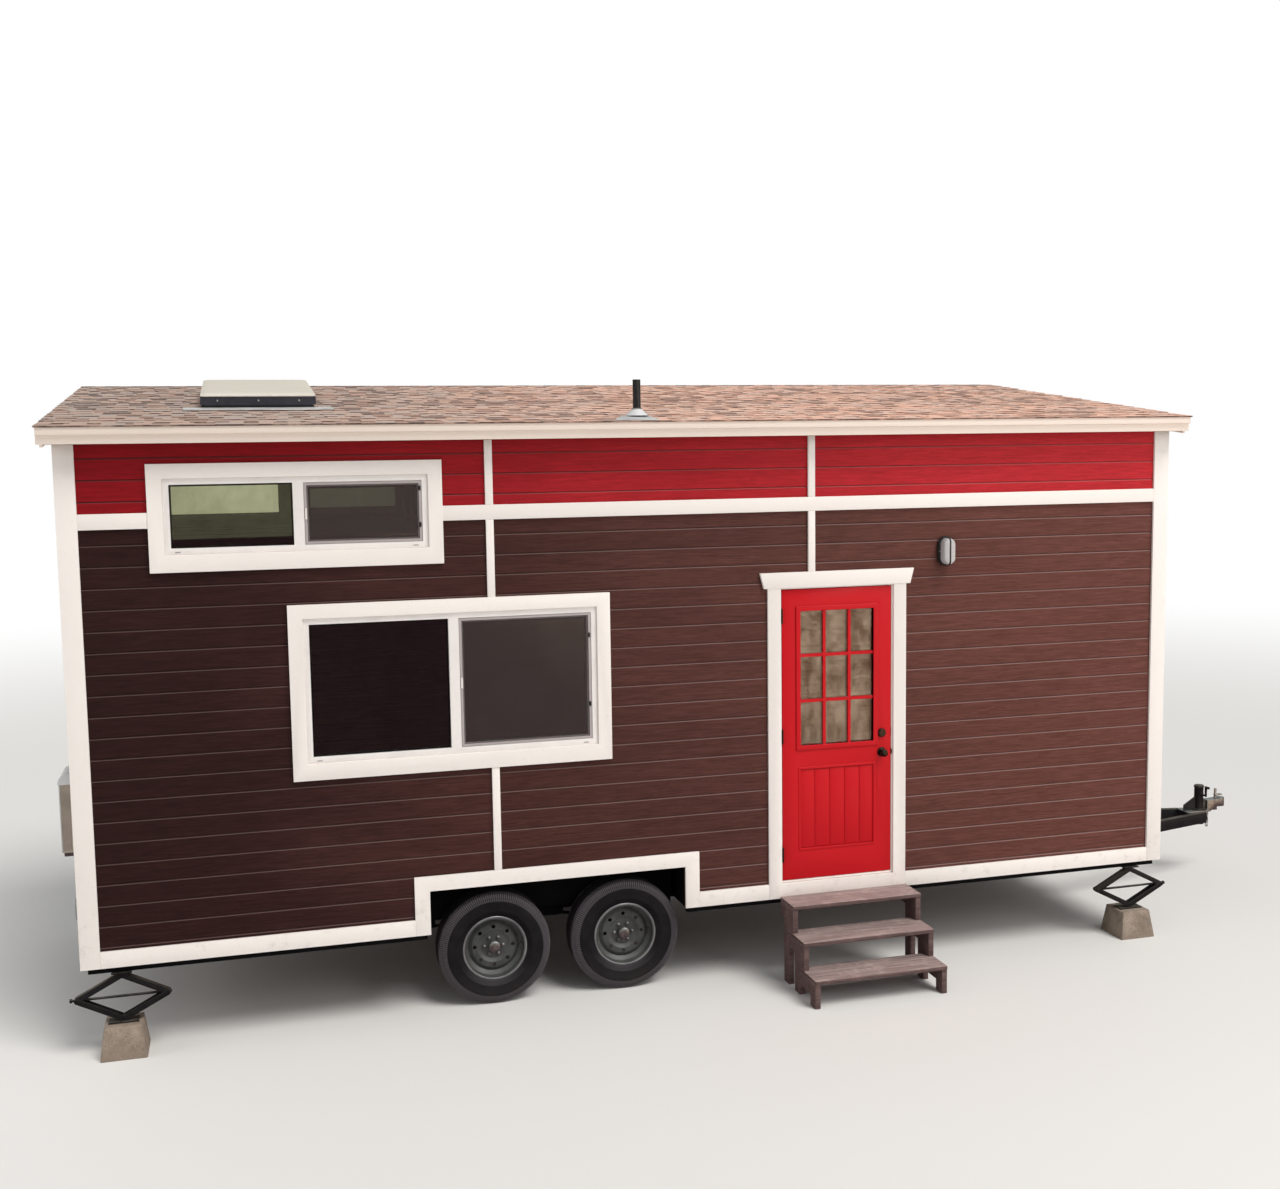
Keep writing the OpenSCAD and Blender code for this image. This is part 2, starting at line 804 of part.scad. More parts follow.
module front_wall_header() color("#d8c7a8") place()
  long_wall(jamb_x0, jamb_x1, siding_t, wall_in, door_head_z);

module back_wall() color("#d8c7a8") place()
  difference() {
    long_wall(siding_t, house_l - siding_t, house_w - wall_in, house_w - siding_t, floor_z);
    back_openings(wall_in + 1);
    translate([0, house_w, 0]) mirror([0, 1, 0]) well_cut();
  }

module end_walls() color("#d8c7a8") place()
  both_ends() long_wall(siding_t, wall_in, wall_in, house_w - wall_in, floor_z);

// Boards on joists under the loft windows, from wall to wall.
module loft_floor() color("#b08a5e") place() along_y(wall_in, house_w - wall_in) {
  translate([wall_in, loft_top - loft_t]) square([loft_l, loft_t]);
  for (i = [0 : joist_n])
    translate([wall_in + i * (loft_l - joist_w) / joist_n, loft_top - loft_t - joist_h])
      square([joist_w, joist_h + loft_t]);
}

// Siding sheets for the four sides, between two levels or up to the roof.
module siding_sheets(z0, z1, to_roof) {
  inner = siding_t + 1;
  difference() {
    union() {
      along_x(inner, house_l - inner) siding_strip(0, siding_t, z0, z1, to_roof);
      along_x(inner, house_l - inner) siding_strip(house_w - siding_t, house_w, z0, z1, to_roof);
      both_ends() along_x(0, siding_t) siding_strip(0, house_w, z0, z1, to_roof);
    }
    front_openings(siding_t + 0.5);
    back_openings(siding_t + 0.5);
    both_sides() block([well_x, -1, skirt_z - 1], [well_x + well_l, siding_t + 0.5, well_top]);
    block([jamb_x0, -1, floor_z], [jamb_x1, siding_t + 0.5, door_head_z]);
  }
}

module siding_strip(y0, y1, z0, z1, to_roof)
  polygon([[y0, z0], [y0, to_roof ? under_roof(y0) : z1], [y1, to_roof ? under_roof(y1) : z1], [y1, z0]]);

module lower_siding() color("#47332f") place() siding_sheets(skirt_z, band_mid, false);

module upper_siding() color("#a52029") place() siding_sheets(band_mid, band_mid, true);

// Roof

module skylight_shaft() on_roof(sky_x + sky_wall, sky_y + sky_wall, -2 * deck_t)
  cube([sky_w - 2 * sky_wall, sky_l - 2 * sky_wall, 3 * deck_t]);

module roof_deck() color("#c9b08a") place() difference() {
  out = eave_out - 2 * fascia_t;
  along_x(-rake_out + 2 * fascia_t, house_l + rake_out - 2 * fascia_t) polygon([
    [-out, eave_z + lay], [0, eave_z + lay], [house_w, under_roof(house_w) + lay],
    [house_w + out, under_roof(house_w) + lay], [house_w + out, deck_top(house_w + out)], [-out, deck_top(-out)]
  ]);
  skylight_shaft();
}

module roof_shingles() color("#8a6d60") place() difference() {
  y0 = -eave_out - drip;
  y1 = house_w + eave_out + drip;
  along_x(-rake_out - drip, house_l + rake_out + drip) polygon([
    [y0, deck_top(y0) + lay], [y1, deck_top(y1) + lay], [y1, roof_top(y1) - lay], [y0, roof_top(y0) - lay]
  ]);
  skylight_shaft();
}

// The two fascia boards at an eave: the upper one laid over the lower one.
module eave_fascia(y_in, dir, z_low) {
  y_mid = y_in + dir * fascia_t;
  y_out = y_in + dir * 2 * fascia_t;
  along_x(-rake_out, house_l + rake_out) polygon([
    [y_in, z_low], [y_mid, z_low], [y_mid, z_low + fascia_low_h], [y_out, z_low + fascia_low_h],
    [y_out, deck_top(y_out)], [y_in, deck_top(y_in)]
  ]);
}

module rake_fascia() {
  y0 = -eave_out + 2 * fascia_t;
  y1 = house_w + eave_out - 2 * fascia_t;
  for (layer = [[fascia_t, 0], [0, fascia_low_h]])
    along_x(-rake_out + layer[0], -rake_out + layer[0] + fascia_t) polygon([
      [y0, eave_z + y0 * slope + layer[1]], [y1, eave_z + y1 * slope + layer[1]],
      [y1, deck_top(y1)], [y0, deck_top(y0)]
    ]);
}

module fascia() color("#e8e0d2") place() {
  eave_fascia(-eave_out + 2 * fascia_t, -1, eave_z);
  eave_fascia(house_w + eave_out - 2 * fascia_t, 1, under_roof(house_w));
  both_ends() rake_fascia();
}

// Trim

module corner_boards() color("#ece4d6") place()
  both_ends() {
    along_x(-trim_t, corner_w - trim_t) polygon([
      [-trim_t, skirt_z], [-trim_t, eave_z], [0, eave_z], [0, skirt_z]]);
    along_x(-trim_t, 0) polygon([
      [0, skirt_z], [0, eave_z], [corner_w, under_roof(corner_w)], [corner_w, skirt_z]]);
    along_x(-trim_t, corner_w - trim_t) polygon([
      [house_w, skirt_z], [house_w, under_roof(house_w)], [house_w + trim_t, under_roof(house_w)],
      [house_w + trim_t, skirt_z]]);
    along_x(-trim_t, 0) polygon([
      [house_w - corner_w, skirt_z], [house_w - corner_w, under_roof(house_w - corner_w)],
      [house_w, under_roof(house_w)], [house_w, skirt_z]]);
  }

module belly_band() color("#ece4d6") place() {
  x0 = corner_w - trim_t;
  x1 = house_l - corner_w + trim_t;
  for (side = [[-trim_t, loft_x, loft_w], [house_w, back_loft_x, back_loft_w]]) {
    block([x0, side[0], band_z], [side[1] - casing_w, side[0] + trim_t, band_z + band_h]);
    block([side[1] + side[2] + casing_w, side[0], band_z], [x1, side[0] + trim_t, band_z + band_h]);
  }
  both_ends() block([-trim_t, corner_w, band_z], [0, house_w - corner_w, band_z + band_h]);
}

module batten(x, y, z0, z1) block([x - batten_w / 2, y, z0], [x + batten_w / 2, y + trim_t, z1]);

module battens() color("#ece4d6") place() {
  for (x = [batten_1_x, batten_2_x]) {
    batten(x, -trim_t, band_z + band_h, eave_z);
    batten(x, house_w, band_z + band_h, under_roof(house_w));
  }
  batten(batten_1_x, -trim_t, floor_z + main_up + main_h + casing_w, band_z);
  batten(batten_1_x, -trim_t, well_top + well_trim_w, floor_z + main_up - sill_h);
  batten(batten_2_x, -trim_t, head_z + head_h, band_z);
  batten(batten_1_x, house_w, well_top + well_trim_w, band_z);
  batten(batten_2_x, house_w, floor_z + back_up + back_h + casing_w, band_z);
  batten(batten_2_x, house_w, floor_z, floor_z + back_up - sill_h);
}

module skirt_boards() color("#ece4d6") place() {
  x0 = corner_w - trim_t;
  x1 = house_l - corner_w + trim_t;
  left_end = well_x - well_trim_w;
  right_end = well_x + well_l + well_trim_w;
  block([x0, -trim_t, skirt_z], [left_end, 0, floor_z]);
  block([right_end, -trim_t, skirt_z], [casing_x0, 0, floor_z]);
  block([casing_x1, -trim_t, skirt_z], [x1, 0, floor_z]);
  block([x0, house_w, skirt_z], [left_end, house_w + trim_t, floor_z]);
  block([right_end, house_w, skirt_z], [x1, house_w + trim_t, floor_z]);
  both_ends() block([-trim_t, corner_w, skirt_z], [0, house_w - corner_w, floor_z]);
}

module wheel_opening_trim() color("#ece4d6") place()
  both_sides() difference() {
    block([well_x - well_trim_w, -trim_t, skirt_z],
      [well_x + well_l + well_trim_w, 0, well_top + well_trim_w]);
    block([well_x, -trim_t - 1, skirt_z - 1], [well_x + well_l, 1, well_top]);
  }

// Windows, each drawn on the front and carried to its own side

module casing_ring(w, h)
  difference() {
    block([-casing_w, -casing_t, -sill_h], [w + casing_w, 0, h + casing_w]);
    block([0, -casing_t - 1, 0], [w, 1, h]);
  }

// The fixed light is on the left. The sash slides behind it on the right.
module slider_frame(w, h) {
  light_w = (w - mullion_w) / 2 - win_face;
  right_x = w - win_face - light_w;
  difference() {
    block([0, -win_proud, 0], [w, win_d - win_proud, h]);
    for (x = [win_face, right_x])
      block([x, -win_proud - 1, win_face], [x + light_w, win_d, h - win_face]);
  }
  difference() {
    block([right_x, sash_y, win_face], [right_x + light_w, sash_y + sash_d, h - win_face]);
    block([right_x + sash_face, sash_y - 1, win_face + sash_face],
      [right_x + light_w - sash_face, sash_y + sash_d + 1, h - win_face - sash_face]);
  }
}

module slider_glass(w, h) {
  light_w = (w - mullion_w) / 2 - win_face;
  right_x = w - win_face - light_w;
  back_y = pane_y + glass_t;
  block([win_face, pane_y, win_face], [win_face + light_w, back_y, h - win_face]);
  block([right_x + sash_face, pane_y, win_face + sash_face],
    [right_x + light_w - sash_face, back_y, h - win_face - sash_face]);
}

module at_back() translate([0, house_w, 0]) mirror([0, 1, 0]) children();

module window_casings() color("#ece4d6") place() {
  translate([main_x, 0, floor_z + main_up]) casing_ring(main_w, main_h);
  translate([loft_x, 0, floor_z + loft_up]) casing_ring(loft_w, loft_h);
  at_back() translate([back_loft_x, 0, floor_z + back_loft_up]) casing_ring(back_loft_w, loft_h);
  at_back() translate([back_x, 0, floor_z + back_up]) casing_ring(back_w, back_h);
}

module window_frames() color("#efefef") place() {
  translate([main_x, 0, floor_z + main_up]) slider_frame(main_w, main_h);
  translate([loft_x, 0, floor_z + loft_up]) slider_frame(loft_w, loft_h);
  at_back() translate([back_loft_x, 0, floor_z + back_loft_up]) slider_frame(back_loft_w, loft_h);
  at_back() translate([back_x, 0, floor_z + back_up]) slider_frame(back_w, back_h);
}

module window_glass() color("#9fb4bf") place() {
  translate([main_x, 0, floor_z + main_up]) slider_glass(main_w, main_h);
  translate([loft_x, 0, floor_z + loft_up]) slider_glass(loft_w, loft_h);
  at_back() translate([back_loft_x, 0, floor_z + back_loft_up]) slider_glass(back_loft_w, loft_h);
  at_back() translate([back_x, 0, floor_z + back_up]) slider_glass(back_w, back_h);
}

// Door and its frame

module door_casing() color("#ece4d6") place() {
  difference() {
    block([casing_x0, -trim_t, skirt_z], [casing_x1, 0, head_z]);
    block([door_x - reveal, -trim_t - 1, floor_z], [door_x + door_w + reveal, 1, head_z + 1]);
  }
  along_y(-casing_t, 0) polygon([
    [casing_x0 - flare, head_z], [casing_x1 + flare, head_z],
    [casing_x1 + 2 * flare, head_z + head_h], [casing_x0 - 2 * flare, head_z + head_h]
  ]);
}

module door_jamb() color("#ece4d6") place() {
  stop_y = door_t + door_gap;
  block([jamb_x0, 0, floor_z], [jamb_x0 + jamb_t, wall_in, door_head_z]);
  block([jamb_x1 - jamb_t, 0, floor_z], [jamb_x1, wall_in, door_head_z]);
  block([jamb_x0 + jamb_t, 0, door_head_z - jamb_t], [jamb_x1 - jamb_t, wall_in, door_head_z]);
  block([jamb_x0 + jamb_t, 0, floor_z], [jamb_x1 - jamb_t, wall_in, floor_z + sill_t]);
  for (x = [jamb_x0 + jamb_t, jamb_x1 - jamb_t - stop_t])
    block([x, stop_y, floor_z + sill_t], [x + stop_t, wall_in, door_head_z - jamb_t]);
  block([jamb_x0 + jamb_t, stop_y, door_head_z - jamb_t - stop_t],
    [jamb_x1 - jamb_t, wall_in, door_head_z - jamb_t]);
}

module knuckle_tube(i, bore)
  translate([hinge_x, hinge_y, i * knuckle + knuckle_gap / 2]) difference() {
    cylinder(r = hinge_r, h = knuckle - knuckle_gap);
    if (bore > 0) translate([0, 0, -1]) cylinder(r = bore, h = knuckle + 2);
  }

module at_hinges()
  for (up = [hinge_from_end, door_h / 2, door_h - hinge_from_end])
    translate([0, 0, door_z + up - hinge_h / 2]) children();

module jamb_hinges() color("#1c1a18") place() at_hinges() {
  x0 = door_x - door_gap;
  block([x0, 0, 0], [x0 + leaf_plate, leaf_d, hinge_h]);
  for (i = [0, 2, 4]) {
    knuckle_tube(i, 0);
    block([x0, hinge_y, i * knuckle + knuckle_gap / 2],
      [x0 + leaf_plate, 0.5, (i + 1) * knuckle - knuckle_gap / 2]);
  }
  translate([hinge_x, hinge_y, 0]) cylinder(r = pin_r, h = hinge_h);
}

module door_hinges() color("#1c1a18") place() at_hinges() {
  block([door_x - leaf_plate, 0, 0], [door_x, leaf_d, hinge_h]);
  for (i = [1, 3]) {
    knuckle_tube(i, pin_r + 0.2);
    difference() {
      block([door_x - leaf_plate, hinge_y, i * knuckle + knuckle_gap / 2],
        [door_x, 0.5, (i + 1) * knuckle - knuckle_gap / 2]);
      translate([hinge_x, hinge_y, 0]) cylinder(r = pin_r + 0.2, h = hinge_h);
    }
  }
}

module door_slab() color("#b8202c") place() translate([door_x, 0, door_z]) {
  lite_x = (door_w - lite_w) / 2;
  panel_x = (door_w - panel_w) / 2;
  plank = panel_w / plank_count;
  difference() {
    block([0, 0, 0], [door_w, door_t, door_h]);
    block([lite_x, -1, lite_up], [lite_x + lite_w, door_t + 1, lite_up + lite_h]);
    for (y = [-1, door_t - panel_d])
      block([panel_x, y, panel_up], [panel_x + panel_w, y + panel_d + 1, panel_up + panel_h]);
  }
  for (i = [0 : plank_count - 1], y = [panel_d - plank_gap, door_t - panel_d])
    block([panel_x + i * plank + plank_gap, y, panel_up + plank_end],
      [panel_x + (i + 1) * plank - plank_gap, y + plank_gap, panel_up + panel_h - plank_end]);
  for (i = [1, 2]) {
    x = lite_x + i * lite_w / 3;
    z = lite_up + i * lite_h / 3;
    for (y = [pane_in - bar_t, door_t - pane_in]) {
      block([x - muntin_w / 2, y, lite_up], [x + muntin_w / 2, y + bar_t, lite_up + lite_h]);
      block([lite_x, y, z - muntin_w / 2], [lite_x + lite_w, y + bar_t, z + muntin_w / 2]);
    }
  }
}

module door_glass() color("#aebfc6") place() {
  lite_x = door_x + (door_w - lite_w) / 2;
  block([lite_x, pane_in, door_z + lite_up], [lite_x + lite_w, door_t - pane_in, door_z + lite_up + lite_h]);
}

module knob_half() rotate_extrude() polygon([
  [0, 0], [rose_r, 0], [rose_r, rose_t], [neck_r, rose_t], [neck_r, knob_out / 2], [knob_r, 2 * knob_out / 3],
  [knob_r, 0.9 * knob_out], [knob_r - rose_t, knob_out], [0, knob_out]
]);

module door_hardware() color("#171513") place() {
  x = door_x + door_w - backset;
  z = door_z + knob_up;
  translate([x, 0, z]) rotate([90, 0, 0]) knob_half();
  translate([x, door_t, z]) rotate([-90, 0, 0]) knob_half();
  translate([x, 0, z + bolt_up]) rotate([90, 0, 0])
    cylinder(r1 = deadbolt_r, r2 = deadbolt_r - 7, h = deadbolt_out);
  translate([x, door_t, z + bolt_up]) rotate([-90, 0, 0]) {
    cylinder(r = deadbolt_r - 1, h = deadbolt_out / 2);
    translate([-thumb_t / 2, -thumb_h / 2, deadbolt_out / 2]) cube([thumb_t, thumb_h, thumb_h / 2]);
  }
}

// Steps

function tread_y(i) = step_front + i * step_run;
function tread_back(i) = tread_y(i) + (i < step_n - 1 ? tread_d : top_tread_d);

module step_treads() color("#6f6160") place()
  for (i = [0 : step_n - 1]) {
    z = (i + 1) * step_rise;
    block([step_x, tread_y(i), z - tread_t], [step_x + step_w, tread_back(i), z]);
  }

// One side of the steps, drawn in Y and Z. Each leg stands right behind the tread below it.
module step_side() {
  for (i = [0 : step_n - 1]) {
    top = (i + 1) * step_rise - tread_t;
    front = tread_y(i) + nosing;
    leg = i == 0 ? front : tread_back(i - 1);
    translate([front, top - post_d]) square([tread_back(i) - front, post_d]);
    translate([leg, 0]) square([post_d, top]);
    if (i > 0) translate([front, i * step_rise]) square([leg - front, step_rise - tread_t]);
  }
}

module step_frames() color("#63544f") place()
  for (x = [step_x, step_x + step_w - post_t]) along_x(x, x + post_t) step_side();

// Roof fittings

// Things on the roof are drawn flat and sheared to follow its slope.
module on_roof(x, y, lift) translate([x, y, roof_top(y) + lift]) rotate([roof_pitch, 0, 0]) children();

module skylight_curb() color("#2b2a2d") place() on_roof(sky_x, sky_y, 0)
  difference() {
    union() {
      translate([-side_flash, -side_flash, 0]) cube([sky_w + 2 * side_flash, sky_l + 2 * side_flash, sheet_t]);
      translate([-apron_side, -apron, 0]) cube([sky_w + 2 * apron_side, apron, sheet_t]);
      translate([-apron_side, -apron, 0]) cube([sky_w + 2 * apron_side, 2 * sheet_t, hem_h]);
      cube([sky_w, sky_l, sky_h]);
      translate([-sky_over, -sky_over, sky_h - sky_skirt])
        cube([sky_w + 2 * sky_over, sky_l + 2 * sky_over, sky_skirt]);
    }
    translate([sky_wall, sky_wall, -1]) cube([sky_w - 2 * sky_wall, sky_l - 2 * sky_wall, sky_h + 2]);
  }

// A flat acrylic lid with a low crown, hollow below.
module skylight_lid() color("#d9d4c4") place() on_roof(sky_x, sky_y, 0) {
  w = sky_w + 2 * sky_over;
  l = sky_l + 2 * sky_over;
  shoulder = 60;
  difference() {
    union() {
      translate([-sky_over, -sky_over, sky_h]) cube([w, l, lid_t]);
      translate([sky_w / 2, sky_l / 2, sky_h + lid_t])
        linear_extrude(lid_crown, scale = [1 - 2 * shoulder / w, 1 - 2 * shoulder / l]) square([w, l], center = true);
    }
    translate([shoulder, shoulder, sky_h - 1]) cube([sky_w - 2 * shoulder, sky_l - 2 * shoulder, lid_t]);
  }
}

// The pipe's boot stands on a flange whose lower part lies on the shingles.
module vent_pipe() color("#2a2a2e") place() {
  foot = roof_top(vent_y);
  dip = boot_r * slope + 2;
  on_roof(vent_x, vent_y, 0) linear_extrude(sheet_t) polygon([
    [-flange_left, -flange_low], [flange_right, -flange_low], [flange_right, flange_high], [-flange_in, flange_high]
  ]);
  difference() {
    union() {
      translate([vent_x, vent_y, foot - dip]) cylinder(r = vent_r, h = vent_h + dip);
      translate([vent_x, vent_y, foot - dip]) cylinder(r = boot_r, h = dip);
      translate([vent_x, vent_y, foot]) cylinder(r1 = boot_r, r2 = vent_r + 4, h = boot_h);
    }
    on_roof(vent_x, vent_y, -4 * boot_r) translate([-2 * boot_r, -2 * boot_r, 0]) cube(4 * boot_r);
  }
}

// Wall fittings

module oval(w, h, d)
  hull() for (s = [-1, 1])
    translate([0, 0, s * (h - w) / 2]) rotate([90, 0, 0]) cylinder(d = w, h = d, $fn = 32);

module wall_lamp() color("#1f1f21") place() translate([lamp_x, 0, floor_z + lamp_up]) {
  oval(lamp_w, lamp_h, lamp_base_d);
  translate([0, -lamp_base_d, 0]) oval(lamp_w - 2 * lamp_rim, lamp_h - 2 * lamp_rim, lamp_d - lamp_base_d);
}

// A slim heater on two brackets, with a louvered front and a cover whose top is rounded off.
module heat_unit() color("#d8d8d4") place() {
  z = floor_z + unit_up;
  front = unit_left + cover_over;
  y0 = unit_y + cover_over;
  y1 = unit_y + unit_w - cover_over;
  top = z + unit_h - cover_h;
  pitch = (top - z) / 2 / louver_n;
  difference() {
    block([front, y0, z], [unit_left + unit_d, y1, top]);
    for (i = [0 : louver_n - 1])
      block([front - 1, y0 + bracket_w, z + 3 * bracket_h + i * pitch],
        [front + louver_d, y1 - bracket_w, z + 3 * bracket_h + i * pitch + louver_t]);
  }
  translate([unit_left + unit_d / 2, unit_y + unit_w / 2, top])
    linear_extrude(cover_h, scale = [0.86, 0.9]) square([unit_d, unit_w], center = true);
  for (y = [unit_y + bracket_in, unit_y + unit_w - bracket_in - bracket_w]) {
    block([front + bracket_t, y, z - bracket_h], [0, y + bracket_w, z]);
    block([-bracket_t, y, z - bracket_h], [0, y + bracket_w, z + bracket_up]);
  }
}

module inlet_box() color("#8b8d90") place()
  block([-inlet_d, inlet_y, floor_z + inlet_up], [0, inlet_y + inlet_w, floor_z + inlet_up + inlet_h]);

// Wheels

// One half of the tire's hollow section, from its middle to the bead, outside first.
half_tire = [
  [tire_r, tire_w * 0.24], [tire_r - 8, tire_w * 0.37], [tire_r - 34, tire_w * 0.46],
  [rim_r + 90, tire_w * 0.5], [rim_r + 30, tire_w * 0.47], [rim_r + 1, bead + 8], [rim_r + 1, bead],
  [bead_r, bead], [bead_r, bead - 27], [rim_r + 30, tire_w * 0.38], [rim_r + 80, tire_w * 0.43],
  [tire_r - 46, tire_w * 0.38], [tire_r - 22, tire_w * 0.24]
];

module tire() color("#19191a")
  rotate([90, 0, 0]) rotate_extrude($fn = 96) polygon(concat(
    half_tire,
    [for (i = [len(half_tire) - 1 : -1 : 0]) [half_tire[i][0], -half_tire[i][1]]]
  ));

// The rim turns about Y. Its outer face looks to the door side, and its brake drum to the axle.
module rim() color("#a7a9ac") difference() {
  bore = spindle_r + hub_gap;
  barrel_r = bead_r - rim_wall;
  inner_r = well_r - rim_wall;
  hub_wall = hub_r + 10;
  drum_face = -drum_y + rim_wall;
  rotate([90, 0, 0]) rotate_extrude($fn = 96) polygon([
    [rim_r, bead], [rim_r, bead + rim_wall], [barrel_r, bead + rim_wall], [barrel_r, well_half + 18],
    [inner_r, well_half + 3], [inner_r, disc_edge + disc_t], [crown_out, crown_y], [crown_in, crown_y],
    [dish_r, dish_y], [cap_r, dish_y], [cap_r, cap_y - 12], [cap_r - disc_t, cap_y], [0, cap_y],
    [0, cap_y - cap_wall], [bore, cap_y - cap_wall], [bore, -hub_back], [hub_r, -hub_back], [hub_r, -drum_y],
    [drum_r - rim_wall, -drum_y], [drum_r - rim_wall, -drum_back], [drum_r, -drum_back], [drum_r, drum_face],
    [hub_wall, drum_face], [hub_wall, dish_y - disc_t], [dish_r + 2, dish_y - disc_t],
    [crown_in + 2, crown_y - disc_t], [crown_out - 2, crown_y - disc_t], [inner_r, disc_edge],
    [inner_r, -well_half - 3], [barrel_r, -well_half - 23], [barrel_r, -bead - rim_wall],
    [rim_r, -bead - rim_wall], [rim_r, -bead], [bead_r, -bead], [bead_r, -well_half - 20],
    [well_r, -well_half],
    [well_r, well_half], [bead_r, well_half + 15], [bead_r, bead]
  ]);
  for (i = [0 : hand_hole_n - 1])
    rotate([0, i * 360 / hand_hole_n, 0]) translate([hand_hole_at, 0, 0]) rotate([90, 0, 0])
      cylinder(r = hand_hole_r, h = drum_back);
}

module near_wheel(x) place() translate([x, tire_mid, axle_z]) children();
module far_wheel(x) place() translate([x, house_w - tire_mid, axle_z]) mirror([0, 1, 0]) children();

module front_near_tire() near_wheel(front_axle_x) tire();
module front_near_rim() near_wheel(front_axle_x) rim();
module rear_near_tire() near_wheel(axle_x) tire();
module rear_near_rim() near_wheel(axle_x) rim();
module front_far_tire() far_wheel(front_axle_x) tire();
module front_far_rim() far_wheel(front_axle_x) rim();
module rear_far_tire() far_wheel(axle_x) tire();
module rear_far_rim() far_wheel(axle_x) rim();

frame_rails();
crossmembers();
tongue_bars();
hitch_coupler();
tongue_jack();
safety_chain();
axles();
leaf_springs();
scissor_jacks();
pier_blocks();
wheel_boxes();
floor();
front_wall_left();
front_wall_right();
front_wall_header();
back_wall();
end_walls();
loft_floor();
lower_siding();
upper_siding();
roof_deck();
roof_shingles();
fascia();
corner_boards();
belly_band();
battens();
skirt_boards();
wheel_opening_trim();
window_casings();
window_frames();
window_glass();
door_casing();
door_jamb();
jamb_hinges();
door_slab();
door_glass();
door_hardware();
door_hinges();
step_treads();
step_frames();
skylight_curb();
skylight_lid();
vent_pipe();
wall_lamp();
heat_unit();
inlet_box();
front_near_tire();
front_near_rim();
rear_near_tire();
rear_near_rim();
front_far_tire();
front_far_rim();
rear_far_tire();
rear_far_rim();
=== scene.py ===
"""A tiny house on wheels: boards, shingles, windows, door, steps and running gear, with light and camera."""
import json
import logging
import math
import random
from dataclasses import dataclass
from enum import Enum
from typing import Callable, Sequence

import bpy
from mathutils import Matrix, Vector

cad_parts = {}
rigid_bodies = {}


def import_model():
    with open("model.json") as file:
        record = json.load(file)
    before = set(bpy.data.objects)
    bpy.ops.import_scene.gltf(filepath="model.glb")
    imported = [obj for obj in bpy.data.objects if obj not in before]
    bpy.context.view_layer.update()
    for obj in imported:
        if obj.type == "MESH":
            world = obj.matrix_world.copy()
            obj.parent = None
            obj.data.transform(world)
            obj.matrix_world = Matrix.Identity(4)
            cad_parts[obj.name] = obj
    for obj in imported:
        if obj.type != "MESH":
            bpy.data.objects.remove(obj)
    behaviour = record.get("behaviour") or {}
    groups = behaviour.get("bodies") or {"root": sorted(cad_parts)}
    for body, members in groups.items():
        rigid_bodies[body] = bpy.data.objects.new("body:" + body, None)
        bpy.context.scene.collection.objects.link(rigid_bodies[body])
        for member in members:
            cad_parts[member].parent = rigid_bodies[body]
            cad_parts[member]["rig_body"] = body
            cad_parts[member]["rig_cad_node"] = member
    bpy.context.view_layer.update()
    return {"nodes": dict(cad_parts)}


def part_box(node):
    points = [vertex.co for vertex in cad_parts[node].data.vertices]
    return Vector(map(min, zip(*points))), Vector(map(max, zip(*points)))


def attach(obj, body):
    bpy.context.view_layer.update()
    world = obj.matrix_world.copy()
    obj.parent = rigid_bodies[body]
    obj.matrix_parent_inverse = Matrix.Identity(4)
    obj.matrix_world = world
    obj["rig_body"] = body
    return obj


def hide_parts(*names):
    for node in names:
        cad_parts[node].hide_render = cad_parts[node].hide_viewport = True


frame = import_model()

LOG = logging.getLogger("tiny_house")
Piece = bpy.types.Object
Socket = bpy.types.NodeSocket
Point = Sequence[float]
Span = tuple[float, float]
Test = Callable[[Vector, Vector], bool]
SHINGLE_SHEET = 0.010
HAIR = 1e-4
WELD = 1e-5
FLAT_ANGLE = math.radians(1)
EDGE_ANGLE = math.radians(40)
SMOOTH_ANGLE = math.radians(32)
QUARTER = math.pi / 2


def only(*pieces: Piece) -> None:
    """Selects pieces alone.

    Args:
        *pieces: The pieces. The first one becomes active.
    """
    bpy.ops.object.select_all(action="DESELECT")
    for piece in pieces:
        piece.select_set(True)
    if pieces:
        bpy.context.view_layer.objects.active = pieces[0]


def open_up(piece: Piece) -> None:
    """Opens edit mode with the whole piece selected.

    Args:
        piece: The piece.
    """
    only(piece)
    bpy.ops.object.mode_set(mode="EDIT")
    bpy.ops.mesh.select_mode(type="VERT")
    bpy.ops.mesh.select_all(action="SELECT")


def done() -> None:
    """Leaves edit mode."""
    bpy.ops.object.mode_set(mode="OBJECT")


def settle(piece: Piece, name: str) -> Piece:
    """Names a piece and moves its place, turn and scale into its mesh.

    Args:
        piece: The piece as it was added.
        name: The name that it gets.

    Returns:
        The same piece, at the origin.
    """
    piece.name = piece.data.name = name
    only(piece)
    bpy.ops.object.transform_apply(location=True, rotation=True, scale=True)
    return piece


def block(name: str, low: Point, high: Point) -> Piece:
    """Adds a square-edged block between two corners, ready to be shaped.

    Args:
        name: The piece's name.
        low: The lowest corner.
        high: The highest corner.

    Returns:
        The block.
    """
    low, high = Vector(low), Vector(high)
    only()
    bpy.ops.mesh.primitive_cube_add(size=1, location=(low + high) / 2, scale=high - low)
    return settle(bpy.context.object, name)


def slab(name: str, spot: Callable[..., Vector], *spans: Span) -> Piece:
    """Adds a block by its span along each axis, counted from a place of its own.

    Args:
        name: The piece's name.
        spot: Gives a point from its distances to that place.
        *spans: The least and greatest distance along X, Y and Z.

    Returns:
        The block.
    """
    return block(name, *(spot(*corner) for corner in zip(*spans)))


